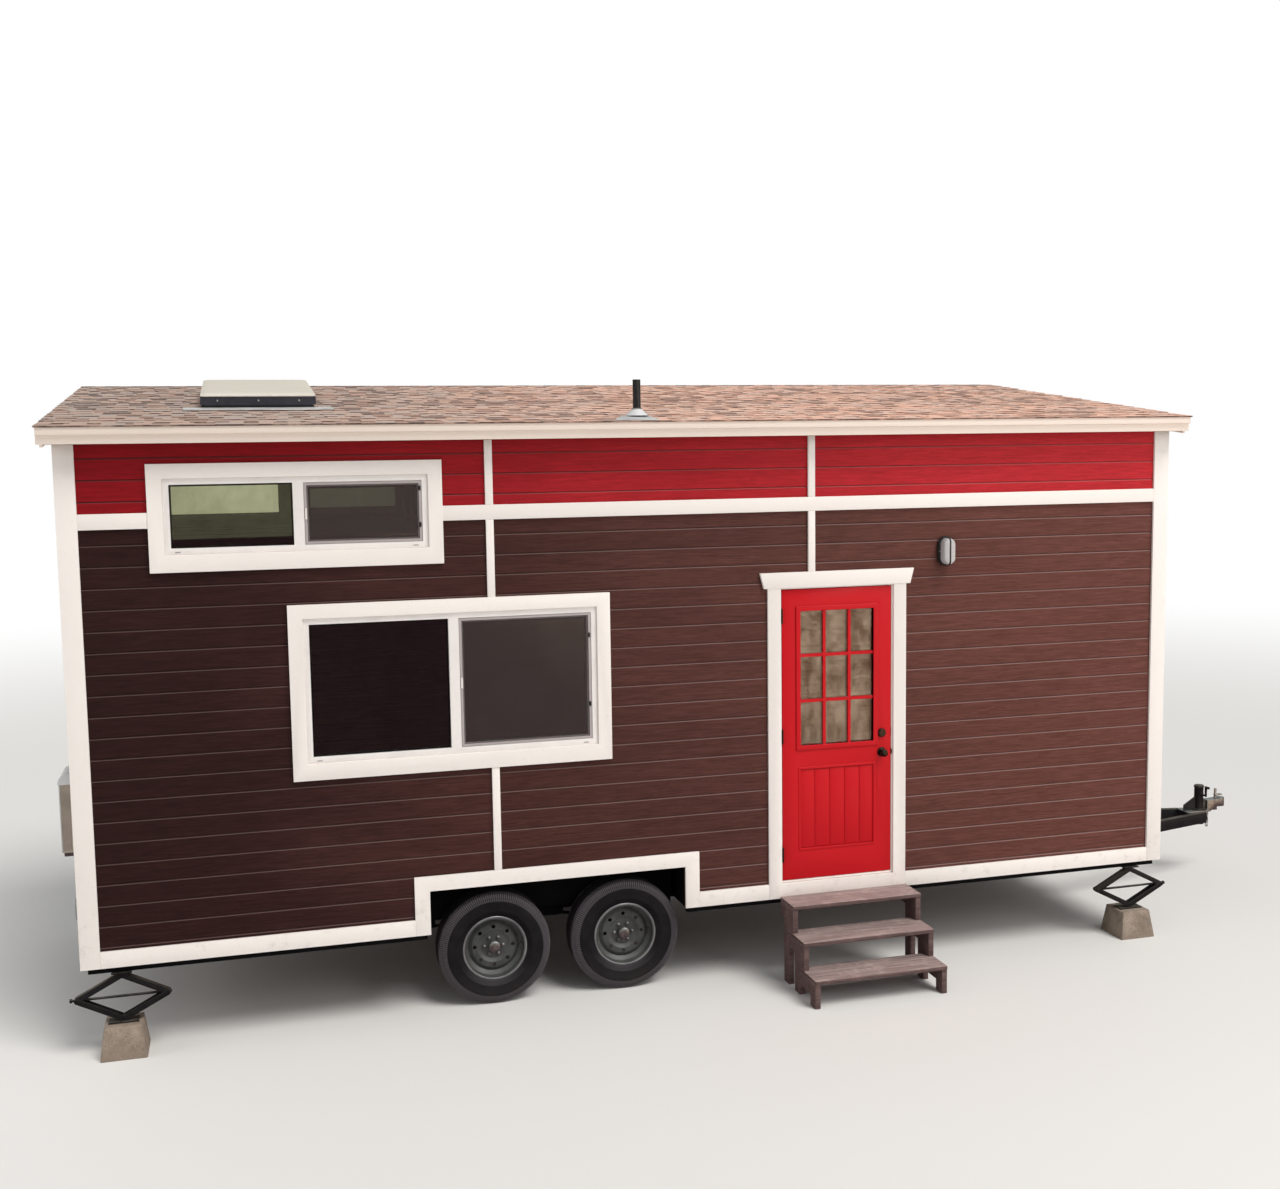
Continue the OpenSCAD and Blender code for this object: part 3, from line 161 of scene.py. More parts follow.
def turned(name: str, outline: Sequence[Span], sides: int = 32, closed: bool = False) -> Piece:
    """Draws one ring and extrudes it along an outline round Z.

    Args:
        name: The piece's name.
        outline: The (radius, height) points in order.
        sides: The sides of the ring.
        closed: True if the outline comes back to its first point.

    Returns:
        The turned piece, standing on the origin.
    """
    radius, height = outline[0]
    only()
    bpy.ops.mesh.primitive_circle_add(
        vertices=sides, radius=radius, location=(0, 0, height), fill_type="NOTHING" if closed else "NGON"
    )
    piece = settle(bpy.context.object, name)
    open_up(piece)
    for next_radius, next_height in outline[1:]:
        bpy.ops.mesh.extrude_region_move(TRANSFORM_OT_translate={"value": (0, 0, next_height - height)})
        factor = next_radius / radius
        bpy.ops.transform.resize(value=(factor, factor, 1), center_override=(0, 0, next_height))
        radius, height = next_radius, next_height
    bpy.ops.mesh.select_all(action="SELECT")
    if closed:
        bpy.ops.mesh.remove_doubles(threshold=WELD)
    bpy.ops.mesh.normals_make_consistent(inside=False)
    done()
    return piece


def placed(piece: Piece, place: Point, turn: Point = (0, 0, 0)) -> Piece:
    """Turns a piece that was modelled at the origin and moves it to its place.

    Args:
        piece: The piece.
        place: Where its origin goes.
        turn: Its turn round X, Y and Z, in radians.

    Returns:
        The same piece.
    """
    piece.location = place
    piece.rotation_euler = turn
    return settle(piece, piece.name)


def pick(piece: Piece, test: Test, mode: str = "FACE") -> None:
    """Opens edit mode with only the faces, edges or points that pass a test selected.

    Args:
        piece: The piece.
        test: Asked with a face's middle and normal, an edge's middle and direction, or a point and its
            normal.
        mode: FACE, EDGE or VERT.
    """
    only(piece)
    mesh = piece.data
    bpy.ops.object.mode_set(mode="EDIT")
    bpy.ops.mesh.select_mode(type=mode)
    bpy.ops.mesh.select_all(action="DESELECT")
    done()
    if mode == "FACE":
        for face in mesh.polygons:
            face.select = test(face.center, face.normal)
    elif mode == "EDGE":
        for edge in mesh.edges:
            a, b = (mesh.vertices[i].co for i in edge.vertices)
            edge.select = test((a + b) / 2, (b - a).normalized())
    else:
        for point in mesh.vertices:
            point.select = test(point.co, point.normal)
    bpy.ops.object.mode_set(mode="EDIT")


def nudged(piece: Piece, test: Test, move: Point) -> Piece:
    """Moves the points that pass a test.

    Args:
        piece: The piece.
        test: Asked with a point and its normal.
        move: How far they go.

    Returns:
        The same piece.
    """
    pick(piece, test, "VERT")
    bpy.ops.transform.translate(value=move)
    done()
    return piece


def chamfer(piece: Piece, test: Test, width: float, segments: int = 1, profile: float = 0.5) -> Piece:
    """Bevels the edges whose middle and direction pass a test.

    Args:
        piece: The piece.
        test: Which edges.
        width: The bevel's offset.
        segments: Its steps.
        profile: Its form, from hollow to full.

    Returns:
        The same piece.
    """
    pick(piece, test, "EDGE")
    bpy.ops.mesh.bevel(offset=width, segments=segments, profile=profile, affect="EDGES")
    done()
    return piece


def modify(piece: Piece, kind: str, **settings: object) -> Piece:
    """Adds one modifier and applies it.

    Args:
        piece: The piece.
        kind: The modifier's type.
        **settings: Its settings by name.

    Returns:
        The same piece.
    """
    only(piece)
    modifier = piece.modifiers.new(kind.title(), kind)
    for key, value in settings.items():
        setattr(modifier, key, value)
    bpy.ops.object.modifier_apply(modifier=modifier.name)
    return piece


def eased(piece: Piece, width: float = 0.002, segments: int = 2) -> Piece:
    """Takes the sharpness off every edge of a piece."""
    limit = {"limit_method": "ANGLE", "angle_limit": EDGE_ANGLE}
    return modify(piece, "BEVEL", width=width, segments=segments, **limit)


def repeated(piece: Piece, count: int, step: Point) -> Piece:
    """Repeats a piece in a straight row, as one mesh."""
    steps = {"use_relative_offset": False, "use_constant_offset": True, "constant_offset_displace": step}
    return modify(piece, "ARRAY", count=count, **steps)


def copied(piece: Piece, name: str, move: Matrix | None = None) -> Piece:
    """Copies a piece with a mesh of its own.

    Args:
        piece: The piece to copy.
        name: The copy's name.
        move: How the copy's mesh is moved.

    Returns:
        The copy.
    """
    twin = piece.copy()
    twin.data = piece.data.copy()
    twin.name = twin.data.name = name
    bpy.context.scene.collection.objects.link(twin)
    if move is not None:
        twin.data.transform(move)
    return twin


def joined(name: str, pieces: Sequence[Piece]) -> Piece:
    """Joins pieces into one object under a new name.

    Args:
        name: The name.
        pieces: The pieces, which it uses up.

    Returns:
        The joined piece.
    """
    only(*pieces)
    if len(pieces) > 1:
        bpy.ops.object.join()
    pieces[0].name = pieces[0].data.name = name
    return pieces[0]


def around(piece: Piece, count: int) -> Piece:
    """Copies a piece evenly round Z and joins the copies.

    Args:
        piece: The first copy.
        count: How many there are in all.

    Returns:
        All the copies as one piece.
    """
    turns = [Matrix.Rotation(math.tau * i / count, 4, "Z") for i in range(1, count)]
    return joined(piece.name, [piece, *(copied(piece, f"{piece.name}_copy", turn) for turn in turns)])


def cut(piece: Piece, cutters: Sequence[Piece]) -> Piece:
    """Cuts solids out of a piece and removes them.

    Args:
        piece: The piece.
        cutters: The solids, which touch no other.

    Returns:
        The same piece.
    """
    for cutter in cutters:
        modify(piece, "BOOLEAN", operation="DIFFERENCE", solver="EXACT", object=cutter)
        bpy.data.objects.remove(cutter)
    return piece


def trimmed(piece: Piece, point: Point, normal: Point) -> Piece:
    """Cuts away what lies beyond a plane and closes the cut.

    Args:
        piece: The piece.
        point: A point on the plane.
        normal: The plane's normal, on the side that goes.

    Returns:
        The same piece.
    """
    open_up(piece)
    bpy.ops.mesh.bisect(plane_co=point, plane_no=normal, use_fill=True, clear_outer=True)
    done()
    return piece


def hoop(name: str, low: Point, high: Point, margin: float) -> Piece:
    """Makes a rectangular frame round Y: a block whose front and back are inset and bridged through.

    Args:
        name: The piece's name.
        low: The lowest corner.
        high: The highest corner.
        margin: The width of the frame's members.

    Returns:
        The frame.
    """
    piece = block(name, low, high)
    pick(piece, lambda middle, normal: abs(normal.y) > 0.9)
    bpy.ops.mesh.inset(thickness=margin)
    bpy.ops.mesh.bridge_edge_loops()
    done()
    return piece


def from_node(node: str, name: str) -> Piece:
    """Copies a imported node's solids, with their loose triangles merged into clean faces.

    Args:
        node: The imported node.
        name: The copy's name.

    Returns:
        The copy.
    """
    piece = copied(frame["nodes"][node], name)
    piece.parent = None
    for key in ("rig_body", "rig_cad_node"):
        del piece[key]
    piece.data.materials.clear()
    only(piece)
    bpy.ops.mesh.customdata_custom_splitnormals_clear()
    open_up(piece)
    bpy.ops.mesh.remove_doubles(threshold=WELD)
    bpy.ops.mesh.dissolve_limited(angle_limit=FLAT_ANGLE)
    done()
    return piece


class Wiring:
    """Adds nodes to a node tree and links them."""

    def __init__(self, tree: bpy.types.NodeTree) -> None:
        """Takes a tree and empties it."""
        self.nodes, self.links = tree.nodes, tree.links
        self.nodes.clear()

    def put(self, socket: Socket, value: object) -> None:
        """Links a socket or sets its value.

        Args:
            socket: An input.
            value: An output to link, a number, or a colour without its alpha.
        """
        if isinstance(value, bpy.types.NodeSocket):
            self.links.new(value, socket)
        elif isinstance(value, tuple) and len(value) == 3 and socket.type == "RGBA":
            socket.default_value = (*value, 1)
        else:
            socket.default_value = value

    def add(self, kind: str, output: int | str = 0, **values: object) -> Socket:
        """Adds a node with its settings and inputs.

        Args:
            kind: The node's type.
            output: Which output is wanted.
            **values: Settings in lower case, and inputs with a capital and _ for a space.

        Returns:
            That output.
        """
        node = self.nodes.new(kind)
        for key, value in values.items():
            if key[0].islower():
                setattr(node, key, value)
            else:
                self.put(node.inputs[key.replace("_", " ")], value)
        return node.outputs[output]

    def blend(self, share: Socket, first: Socket, second: Socket) -> Socket:
        """Mixes two shaders.

        Args:
            share: The share of the second one.
            first: The shader at share 0.
            second: The shader at share 1.

        Returns:
            The mixed shader.
        """
        node = self.nodes.new("ShaderNodeMixShader")
        for socket, value in zip(node.inputs, (share, first, second)):
            self.put(socket, value)
        return node.outputs[0]


class Sketch(Wiring):
    """Writes the nodes of one material."""

    def __init__(self, name: str) -> None:
        """Starts a material with one Principled shader on it.

        Args:
            name: The material's name.
        """
        self.material = bpy.data.materials.new(name)
        self.material.use_nodes = True
        super().__init__(self.material.node_tree)
        self.shader = self.nodes.new("ShaderNodeBsdfPrincipled")
        self.output = self.nodes.new("ShaderNodeOutputMaterial")
        self.put(self.output.inputs["Surface"], self.shader.outputs[0])
        self.place = self.add("ShaderNodeTexCoord", "Object")

    def spread(self, scale: float | Point) -> Socket:
        """Gives the object's coordinates, scaled alike or along each axis."""
        each = scale if isinstance(scale, tuple) else (scale, scale, scale)
        return self.add("ShaderNodeMapping", Vector=self.place, Scale=Vector(each))

    def noise(
        self, scale: float | Point, detail: float = 3, rough: float = 0.5, distort: float = 0
    ) -> Socket:
        """Gives noise over the object.

        Args:
            scale: Its repeats per metre, alike or along each axis.
            detail: Its octaves.
            rough: The weight of the fine ones.
            distort: How far it is stirred.

        Returns:
            The noise, from 0 to 1.
        """
        return self.add(
            "ShaderNodeTexNoise", Vector=self.spread(scale), Scale=1, Detail=detail, Roughness=rough,
            Distortion=distort,
        )

    def patches(self, scale: float | Point, low: float, high: float, *noise: float) -> Socket:
        """Gives patches of noise with soft edges.

        Args:
            scale: Their repeats per metre.
            low: The noise at which they set in.
            high: The noise at which they are full.
            *noise: The noise's detail, roughness and distortion.

        Returns:
            The patches, from 0 to 1.
        """
        return self.ramp(self.noise(scale, *noise), low, high)

    def cells(self, scale: float, output: str) -> Socket:
        """Gives the Distance or Color of cells with this many repeats per metre."""
        return self.add("ShaderNodeTexVoronoi", output, Vector=self.spread(scale), Scale=1)

    def calc(self, operation: str, a: object, b: object = 0.0) -> Socket:
        """Works out one step of arithmetic.

        Args:
            operation: The operation's name.
            a: The first value.
            b: The second value.

        Returns:
            The result.
        """
        node = self.nodes.new("ShaderNodeMath")
        node.operation = operation
        self.put(node.inputs[0], a)
        self.put(node.inputs[1], b)
        return node.outputs[0]

    def level(self, value: Socket, gain: float, offset: float) -> Socket:
        """Gives a value times a gain, plus an offset."""
        return self.calc("ADD", self.calc("MULTIPLY", value, gain), offset)

    def less(self, value: Socket) -> Socket:
        """Gives 1 less a value."""
        return self.calc("SUBTRACT", 1.0, value)

    def ramp(self, value: Socket, low: float, high: float) -> Socket:
        """Turns a value into 0 below low, 1 above high and a smooth rise between them."""
        return self.add(
            "ShaderNodeMapRange", interpolation_type="SMOOTHSTEP", Value=value, From_Min=low, From_Max=high
        )

    def mix(self, share: object, a: object, b: object, blend: str = "MIX") -> Socket:
        """Mixes two colours.

        Args:
            share: The share of the second one.
            a: The colour at share 0.
            b: The colour at share 1.
            blend: How they mix.

        Returns:
            The mixed colour.
        """
        node = self.nodes.new("ShaderNodeMix")
        node.data_type = "RGBA"
        node.blend_type = blend
        for index, value in zip((0, 6, 7), (share, a, b)):
            self.put(node.inputs[index], value)
        return node.outputs[2]

    def over(self, base: object, color: object, where: Socket, amount: float) -> Socket:
        """Lays a colour over a base.

        Args:
            base: The base colour.
            color: The colour on top.
            where: Where it lies, from 0 to 1.
            amount: Its share where that is 1.

        Returns:
            The mixed colour.
        """
        return self.mix(self.calc("MULTIPLY", where, amount), base, color)

    def tinted(self, color: object, factor: object) -> Socket:
        """Multiplies two colours."""
        return self.mix(1.0, color, factor, "MULTIPLY")

    def axis(self, name: str) -> Socket:
        """Gives one of the object's coordinates, X, Y or Z."""
        return self.add("ShaderNodeSeparateXYZ", name, Vector=self.place)

    def facing(self, name: str = "Z", sign: float = 1.0) -> Socket:
        """Tells where the surface faces along an axis.

        Args:
            name: The axis.
            sign: -1 for its other end.

        Returns:
            1 where it does and 0 where it turns away.
        """
        normal = self.add("ShaderNodeNewGeometry", "True Normal")
        along = self.add("ShaderNodeSeparateXYZ", name, Vector=normal)
        return self.ramp(self.calc("MULTIPLY", along, sign), 0.15, 0.75)

    def hashed(self, value: Socket) -> Socket:
        """Gives a fixed random value for each whole number."""
        return self.add("ShaderNodeTexWhiteNoise", "Value", noise_dimensions="1D", W=value)

    def bump(self, height: Socket, depth: float, strength: float = 1.0, **under: Socket) -> Socket:
        """Turns a height into a normal, on top of another Normal if it is given."""
        return self.add("ShaderNodeBump", Strength=strength, Distance=depth, Height=height, **under)

    def close(self, color: object, rough: object, **inputs: object) -> bpy.types.Material:
        """Sets the shader's sockets.

        Args:
            color: The base colour.
            rough: The roughness.
            **inputs: Other sockets by name, with _ for a space.

        Returns:
            The finished material.
        """
        for key, value in {"Base_Color": color, "Roughness": rough, **inputs}.items():
            self.put(self.shader.inputs[key.replace("_", " ")], value)
        return self.material


def scaled(color: Point, factor: float) -> tuple:
    """Makes a colour darker, or lighter up to white."""
    return tuple(min(1.0, c * factor) for c in color)


class Finish:
    """A surface finish. Its material is written once and then shared."""

    made: dict = {}

    def material(self) -> bpy.types.Material:
        """Writes the material when it is first asked for.

        Returns:
            The finish's material.
        """
        if self not in Finish.made:
            Finish.made[self] = self.write(Sketch(self.name))
        return Finish.made[self]


@dataclass(frozen=True)
class Stain(Finish):
    """Stained siding boards with painted shade at the left end and painted light to the right, an embossed
    grain, and dust with a painted highlight on their top edges.
    """

    name: str
    # The first colour is the painted-shade colour at the left end, the second the painted-light colour at the
    # right end.
    color: tuple
    lit_right_color: tuple
    dust: tuple
    depth: tuple = (0.60, 0.56, 0.55)
    painted_foot_shadow: tuple = (0.78, 0.78, 0.78)
    shaded_dust_left: float = 0.34
    course: float = 0.130
    start: float = 0.560

    def write(self, sk: Sketch) -> bpy.types.Material:
        """Writes the painted light and shade along X, the grain, each board's own tone, the painted shadow at
        its foot and the dust with its painted highlight.

        Args:
            sk: Where its nodes go.

        Returns:
            The material.
        """
        low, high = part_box("lower_siding")
        # Painted light and shade: the boards turn from the shaded colour at the left end to the lit one at
        # the right, with a little noise.
        along = sk.calc("DIVIDE", sk.calc("SUBTRACT", sk.axis("X"), low.x), high.x - low.x)
        drift = sk.level(sk.noise((0.7, 0.7, 2.4)), 0.5, -0.25)
        share = sk.ramp(sk.calc("ADD", along, drift), 0.0, 1.0)
        color = sk.mix(share, self.color, self.lit_right_color)
        dark = sk.tinted(color, self.depth)
        grain = sk.noise((5.5, 5.5, 110), 6, 0.66, 0.7)
        figure = sk.noise((2.2, 2.2, 26), 4, 0.6, 2.2)
        board = sk.calc("DIVIDE", sk.calc("SUBTRACT", sk.axis("Z"), self.start), self.course)
        base = sk.mix(sk.ramp(grain, 0.32, 0.66), dark, color)
        base = sk.over(base, dark, sk.ramp(figure, 0.45, 0.75), 0.35)
        base = sk.over(base, dark, sk.hashed(sk.calc("FLOOR", board)), 0.14)
        base = sk.over(base, dark, sk.patches((4.5, 4.5, 7.5), 0.50, 0.74, 4, 0.6, 0.8), 0.40)
        # Dust and a painted highlight on the faces that look up, darkened at the left end as painted shade.
        dust = sk.mix(share, scaled(self.dust, self.shaded_dust_left), self.dust)
        base = sk.over(base, dust, sk.facing(), 0.85)
        # Painted shadow: a dark strip at each board's foot, where the board above would shade it.
        foot = sk.ramp(sk.calc("FRACT", board), 0.004, 0.030)
        base = sk.mix(foot, sk.tinted(dark, self.painted_foot_shadow), base)
        normal = sk.bump(sk.mix(0.4, grain, figure), 0.0022, 0.9)
        return sk.close(base, sk.level(grain, 0.25, 0.50), Normal=normal, Specular_IOR_Level=0.16)


@dataclass(frozen=True)
class Paint(Finish):
    """Brushed paint on boards, with faint grain and dirt that gathers low down."""

    name: str
    color: tuple
    dirt: tuple
    amount: float = 0.25
    rough: float = 0.48
    grain: float = 0.0005
    shine: float = 0.35
    clean_above: float = 1.3

    def write(self, sk: Sketch) -> bpy.types.Material:
        """Writes the brushed grain and the dirt.

        Args:
            sk: Where its nodes go.

        Returns:
            The material.
        """
        streak = sk.noise((9, 9, 22), 6, 0.65, 0.4)
        base = sk.over(self.color, self.dirt, sk.noise(1.6), 0.10)
        low = sk.less(sk.ramp(sk.axis("Z"), 0.45, self.clean_above))
        spots = sk.calc("MULTIPLY", sk.patches(13, 0.52, 0.75, 5, 0.7), low)
        base = sk.over(base, self.dirt, spots, self.amount)
        base = sk.over(base, self.dirt, sk.patches(60, 0.68, 0.78, 2), self.amount * 0.6)
        rough, normal = sk.level(streak, 0.18, self.rough - 0.09), sk.bump(streak, self.grain, 0.7)
        return sk.close(base, rough, Normal=normal, Specular_IOR_Level=self.shine)


@dataclass(frozen=True)
class Granules(Finish):
    """Mineral-coated shingles of mixed tones, greyer at the left end as painted shade and lighter to the
    right as painted light.
    """

    name: str = "shingle_granules"
    tones: tuple = ((0.76, 0.475, 0.360), (0.52, 0.300, 0.222), (0.68, 0.485, 0.400), (0.29, 0.178, 0.142))
    turns: tuple = ((0.25, 0.40), (0.50, 0.65), (0.80, 0.90))
    pale_grit: tuple = (0.78, 0.58, 0.47)
    dark_grit: tuple = (0.08, 0.06, 0.055)
    worn: tuple = (0.70, 0.53, 0.44)
    # The colour of the painted shade on the butt faces.
    butt: tuple = (0.060, 0.040, 0.034)
    # Tints of the painted shade at the left end and the painted light at the right end, and where they set in
    # along X.
    shade_tint: tuple = (0.80, 0.89, 0.95)
    light_tint: tuple = (1.25, 1.20, 1.20)
    shade_tint_x: float = -3.6
    light_tint_x: float = 0.2

    def write(self, sk: Sketch) -> bpy.types.Material:
        """Writes each tab's tone, the grit, the wear, the painted shade on the butts and the painted light
        and shade along X.

        Args:
            sk: Where its nodes go.

        Returns:
            The material.
        """
        tone = sk.add("ShaderNodeAttribute", "Fac", attribute_name="tone")
        base = self.tones[0]
        for color, (low, high) in zip(self.tones[1:], self.turns):
            base = sk.mix(sk.ramp(tone, low, high), base, color)
        grit = sk.noise(420, 2, 0.7)
        base = sk.over(base, self.pale_grit, sk.ramp(grit, 0.42, 0.62), 0.45)
        base = sk.over(base, self.dark_grit, sk.patches(900, 0.5, 0.65, 1), 0.4)
        base = sk.over(base, self.worn, sk.patches((1.4, 0.5, 1.0), 0.45, 0.75, 4, 0.6), 0.30)
        # Painted shade: butt faces that look down the slope are darkened in patches.
        shaded_butts = sk.calc("MULTIPLY", sk.facing("Y", -1.0), sk.patches((9, 2, 9), 0.25, 0.55, 3, 0.6))
        base = sk.over(base, self.butt, shaded_butts, 0.85)
        # Painted light and shade: the tones are tinted greyer at the left end and lighter to the right.
        along = sk.ramp(sk.axis("X"), self.shade_tint_x, self.light_tint_x)
        base = sk.tinted(base, sk.mix(along, self.shade_tint, self.light_tint))
        return sk.close(base, 0.92, Normal=sk.bump(grit, 0.0012, 0.9), Specular_IOR_Level=0.20)


@dataclass(frozen=True)
class Steel(Finish):
    """Painted, plated or bare metal with dust on top and rust in spots."""

    name: str
    color: tuple
    rough: float = 0.45
    metal: float = 0.0
    rust: float = 0.0
    dust: float = 0.0
    spangle: float = 0.0
    shine: float = 0.5
    rust_color: tuple = (0.17, 0.065, 0.03)
    dust_color: tuple = (0.22, 0.18, 0.14)

    def write(self, sk: Sketch) -> bpy.types.Material:
        """Writes the sheen, spangle, rust and dust.

        Args:
            sk: Where its nodes go.

        Returns:
            The material.
        """
        cloud = sk.noise(7, 4, 0.6)
        base = sk.mix(sk.ramp(cloud, 0.3, 0.7), scaled(self.color, 0.62), self.color)
        if self.spangle:
            grey = sk.calc("ADD", sk.cells(70, "Color"), 0.0)
            base = sk.mix(self.spangle, base, grey, "SOFT_LIGHT")
        if self.rust:
            base = sk.over(base, self.rust_color, sk.patches(26, 0.60, 0.72, 6, 0.7), self.rust)
        if self.dust:
            lying = sk.calc("MULTIPLY", sk.facing(), sk.ramp(cloud, 0.25, 0.7))
            base = sk.over(base, self.dust_color, lying, self.dust)
        rough, normal = sk.level(cloud, 0.22, self.rough - 0.11), sk.bump(sk.noise(190), 0.0003, 0.5)
        return sk.close(base, rough, Normal=normal, Metallic=self.metal, Specular_IOR_Level=self.shine)


@dataclass(frozen=True)
class Rubber(Finish):
    """Worn tire rubber with road dust, paler where light falls on it."""

    name: str = "tire_rubber"
    color: tuple = (0.0065, 0.0060, 0.0075)
    dust: tuple = (0.065, 0.057, 0.055)
    lit: tuple = (0.045, 0.040, 0.045)

    def write(self, sk: Sketch) -> bpy.types.Material:
        """Writes the matt bloom, the dust, the painted highlight on the faces that look up and the fine skin.

        Args:
            sk: Where its nodes go.

        Returns:
            The material.
        """
        base = sk.over(self.color, self.dust, sk.patches(11, 0.35, 0.75, 5, 0.65), 0.10)
        base = sk.over(base, self.dust, sk.less(sk.ramp(sk.axis("Z"), 0.02, 0.30)), 0.22)
        # Painted highlight: the faces that look up are paler.
        base = sk.over(base, self.lit, sk.facing(), 0.8)
        return sk.close(base, 0.66, Normal=sk.bump(sk.noise(240), 0.0004, 0.6), Specular_IOR_Level=0.22)


@dataclass(frozen=True)
class Timber(Finish):
    """Sawn boards with their grain along X, and joints between boards if they have a pitch."""

    name: str
    color: tuple
    dark: tuple
    pitch: float = 0.0
    across: str = "Z"
    rough: float = 0.7
    worn: float = 0.0
    sides: float = 0.0
    painted_side_shade: tuple = (0.24, 0.165, 0.165)
    grain: tuple = (3, 90, 90)

    def write(self, sk: Sketch) -> bpy.types.Material:
        """Writes the grain, checks and board joints, and the painted shade on the upright sides.

        Args:
            sk: Where its nodes go.

        Returns:
            The material.
        """
        broad, coarse = (tuple(v * share for v in self.grain) for share in (0.25, 0.6))
        height = grain = sk.noise(self.grain, 5, 0.6, 0.3)
        base = sk.mix(sk.ramp(grain, 0.3, 0.7), self.dark, self.color)
        base = sk.over(base, self.dark, sk.patches(broad, 0.5, 0.8, 4, 0.6, 1.2), 0.45)
        base = sk.over(base, scaled(self.dark, 0.35), sk.patches(coarse, 0.66, 0.70, 2, 0.4, 0.1), 0.5)
        if self.pitch:
            board = sk.calc("DIVIDE", sk.axis(self.across), self.pitch)
            base = sk.over(base, self.dark, sk.hashed(sk.calc("FLOOR", board)), 0.35)
            gap = sk.ramp(sk.calc("PINGPONG", board, 0.5), 0.0, 0.035)
            base = sk.mix(gap, scaled(self.dark, 0.3), base)
            height = sk.calc("ADD", sk.calc("MULTIPLY", grain, 0.15), gap)
        if self.worn:
            base = sk.over(base, scaled(self.color, 2.1), sk.patches(8, 0.48, 0.72, 5, 0.7), self.worn)
        # Painted shade: the faces that don't look up are darkened.
        if self.sides:
            base = sk.over(base, sk.tinted(base, self.painted_side_shade), sk.less(sk.facing()), self.sides)
        return sk.close(base, self.rough, Normal=sk.bump(height, 0.0015, 0.7))


@dataclass(frozen=True)
class Concrete(Finish):
    """Cast concrete with pits and stains."""

    name: str = "cast_concrete"
    color: tuple = (0.37, 0.295, 0.235)
    dark: tuple = (0.200, 0.155, 0.118)
    pit: tuple = (0.13, 0.11, 0.09)
    splashed: tuple = (0.25, 0.19, 0.14)

    def write(self, sk: Sketch) -> bpy.types.Material:
        """Writes the stains, the pits and the sandy skin.

        Args:
            sk: Where its nodes go.

        Returns:
            The material.
        """
        base = sk.mix(sk.patches(6, 0.3, 0.7, 6, 0.65), self.dark, self.color)
        pits = sk.ramp(sk.cells(55, "Distance"), 0.10, 0.26)
        base = sk.mix(pits, self.pit, base)
        base = sk.over(base, self.splashed, sk.less(sk.ramp(sk.axis("Z"), 0.0, 0.09)), 0.45)
        sand = sk.bump(sk.noise(260), 0.0008, 0.8)
        return sk.close(base, 0.9, Normal=sk.bump(pits, 0.0025, 0.8, Normal=sand))


@dataclass(frozen=True)
class Plastic(Finish):
    """Moulded plastic or vinyl, lightly soiled."""

    name: str
    color: tuple
    soil: tuple = (0.25, 0.22, 0.19)
    rough: float = 0.38
    amount: float = 0.12
    glow: float = 0.0
    shine: float = 0.5

    def write(self, sk: Sketch) -> bpy.types.Material:
        """Writes the soiling and the moulded skin.

        Args:
            sk: Where its nodes go.

        Returns:
            The material.
        """
        cloud = sk.patches(5, 0.35, 0.8, 5, 0.65)
        base = sk.over(self.color, self.soil, cloud, self.amount)
        return sk.close(
            base, sk.level(cloud, 0.15, self.rough), Normal=sk.bump(sk.noise(160, 2), 0.0002, 0.4),
            Specular_IOR_Level=self.shine, Subsurface_Weight=self.glow,
        )


@dataclass(frozen=True)
class Glass(Finish):
    """Clear coated glass with an uneven film of dust in its tint."""

    name: str = "clear_float_glass"
    tint: tuple = (0.93, 0.96, 0.95)
    soiled: tuple = (0.80, 0.82, 0.80)
    index: float = 1.45

    def write(self, sk: Sketch) -> bpy.types.Material:
        """Writes the film of dust.

        Args:
            sk: Where its nodes go.

        Returns:
            The material.
        """
        color = sk.mix(sk.patches(3, 0.4, 0.8, 4, 0.6), self.tint, self.soiled)
        return sk.close(color, 0.0, Transmission_Weight=1.0, IOR=self.index)


@dataclass(frozen=True)
class Screen(Finish):
    """Insect screen, seen as a dark veil."""

    name: str = "insect_screen"
    gap: tuple = (0.045, 0.030, 0.029)
    wire: tuple = (0.085, 0.058, 0.056)
    wires: float = 600.0
    cover: float = 0.42

    def write(self, sk: Sketch) -> bpy.types.Material:
        """Writes the woven mesh of the screen.

        Args:
            sk: Where its nodes go.

        Returns:
            The material.
        """
        weave = [sk.calc("PINGPONG", sk.calc("MULTIPLY", sk.axis(a), self.wires), 0.5) for a in "XZ"]
        return sk.close(sk.mix(sk.calc("MAXIMUM", *weave), self.gap, self.wire), 0.6, Alpha=self.cover)


# Each stain gives its painted-shade colour at the left end, its painted-light colour at the right end, and
# its colour of dust with a painted highlight.
BROWN_STAIN = Stain("brown_board_stain", (0.034, 0.011, 0.0105), (0.165, 0.060, 0.048), (0.31, 0.185, 0.165))
RED_STAIN = Stain(
    "red_board_stain", (0.310, 0.0045, 0.0105), (0.610, 0.027, 0.037), (0.62, 0.13, 0.135), (0.68, 0.60, 0.60)
)
CREAM = Paint("cream_trim_paint", (0.935, 0.872, 0.828), (0.33, 0.26, 0.20))
FASCIA_CREAM = Paint("fascia_paint", (0.89, 0.765, 0.675), (0.36, 0.27, 0.20), 0.35)
DOOR_RED = Paint("red_door_paint", (0.560, 0.0065, 0.0125), (0.34, 0.03, 0.035), 0.08, 0.36, 0.00025, 0.16)
SHINGLES = Granules()
BLACK_STEEL = Steel("black_trailer_paint", (0.014, 0.014, 0.016), 0.42, 0.0, 0.30, 0.40, shine=0.30)
WELL_BLACK = Steel("undersealed_black", (0.006, 0.006, 0.007), 0.75, 0.0, 0.10, 0.15, shine=0.10)
ZINC = Steel("zinc_plate", (0.50, 0.51, 0.52), 0.36, 0.95, 0.12, 0.0, 0.6)
RIM_GREY = Steel("grey_rim_paint", (0.108, 0.115, 0.113), 0.40, 0.30, 0.10, 0.25)
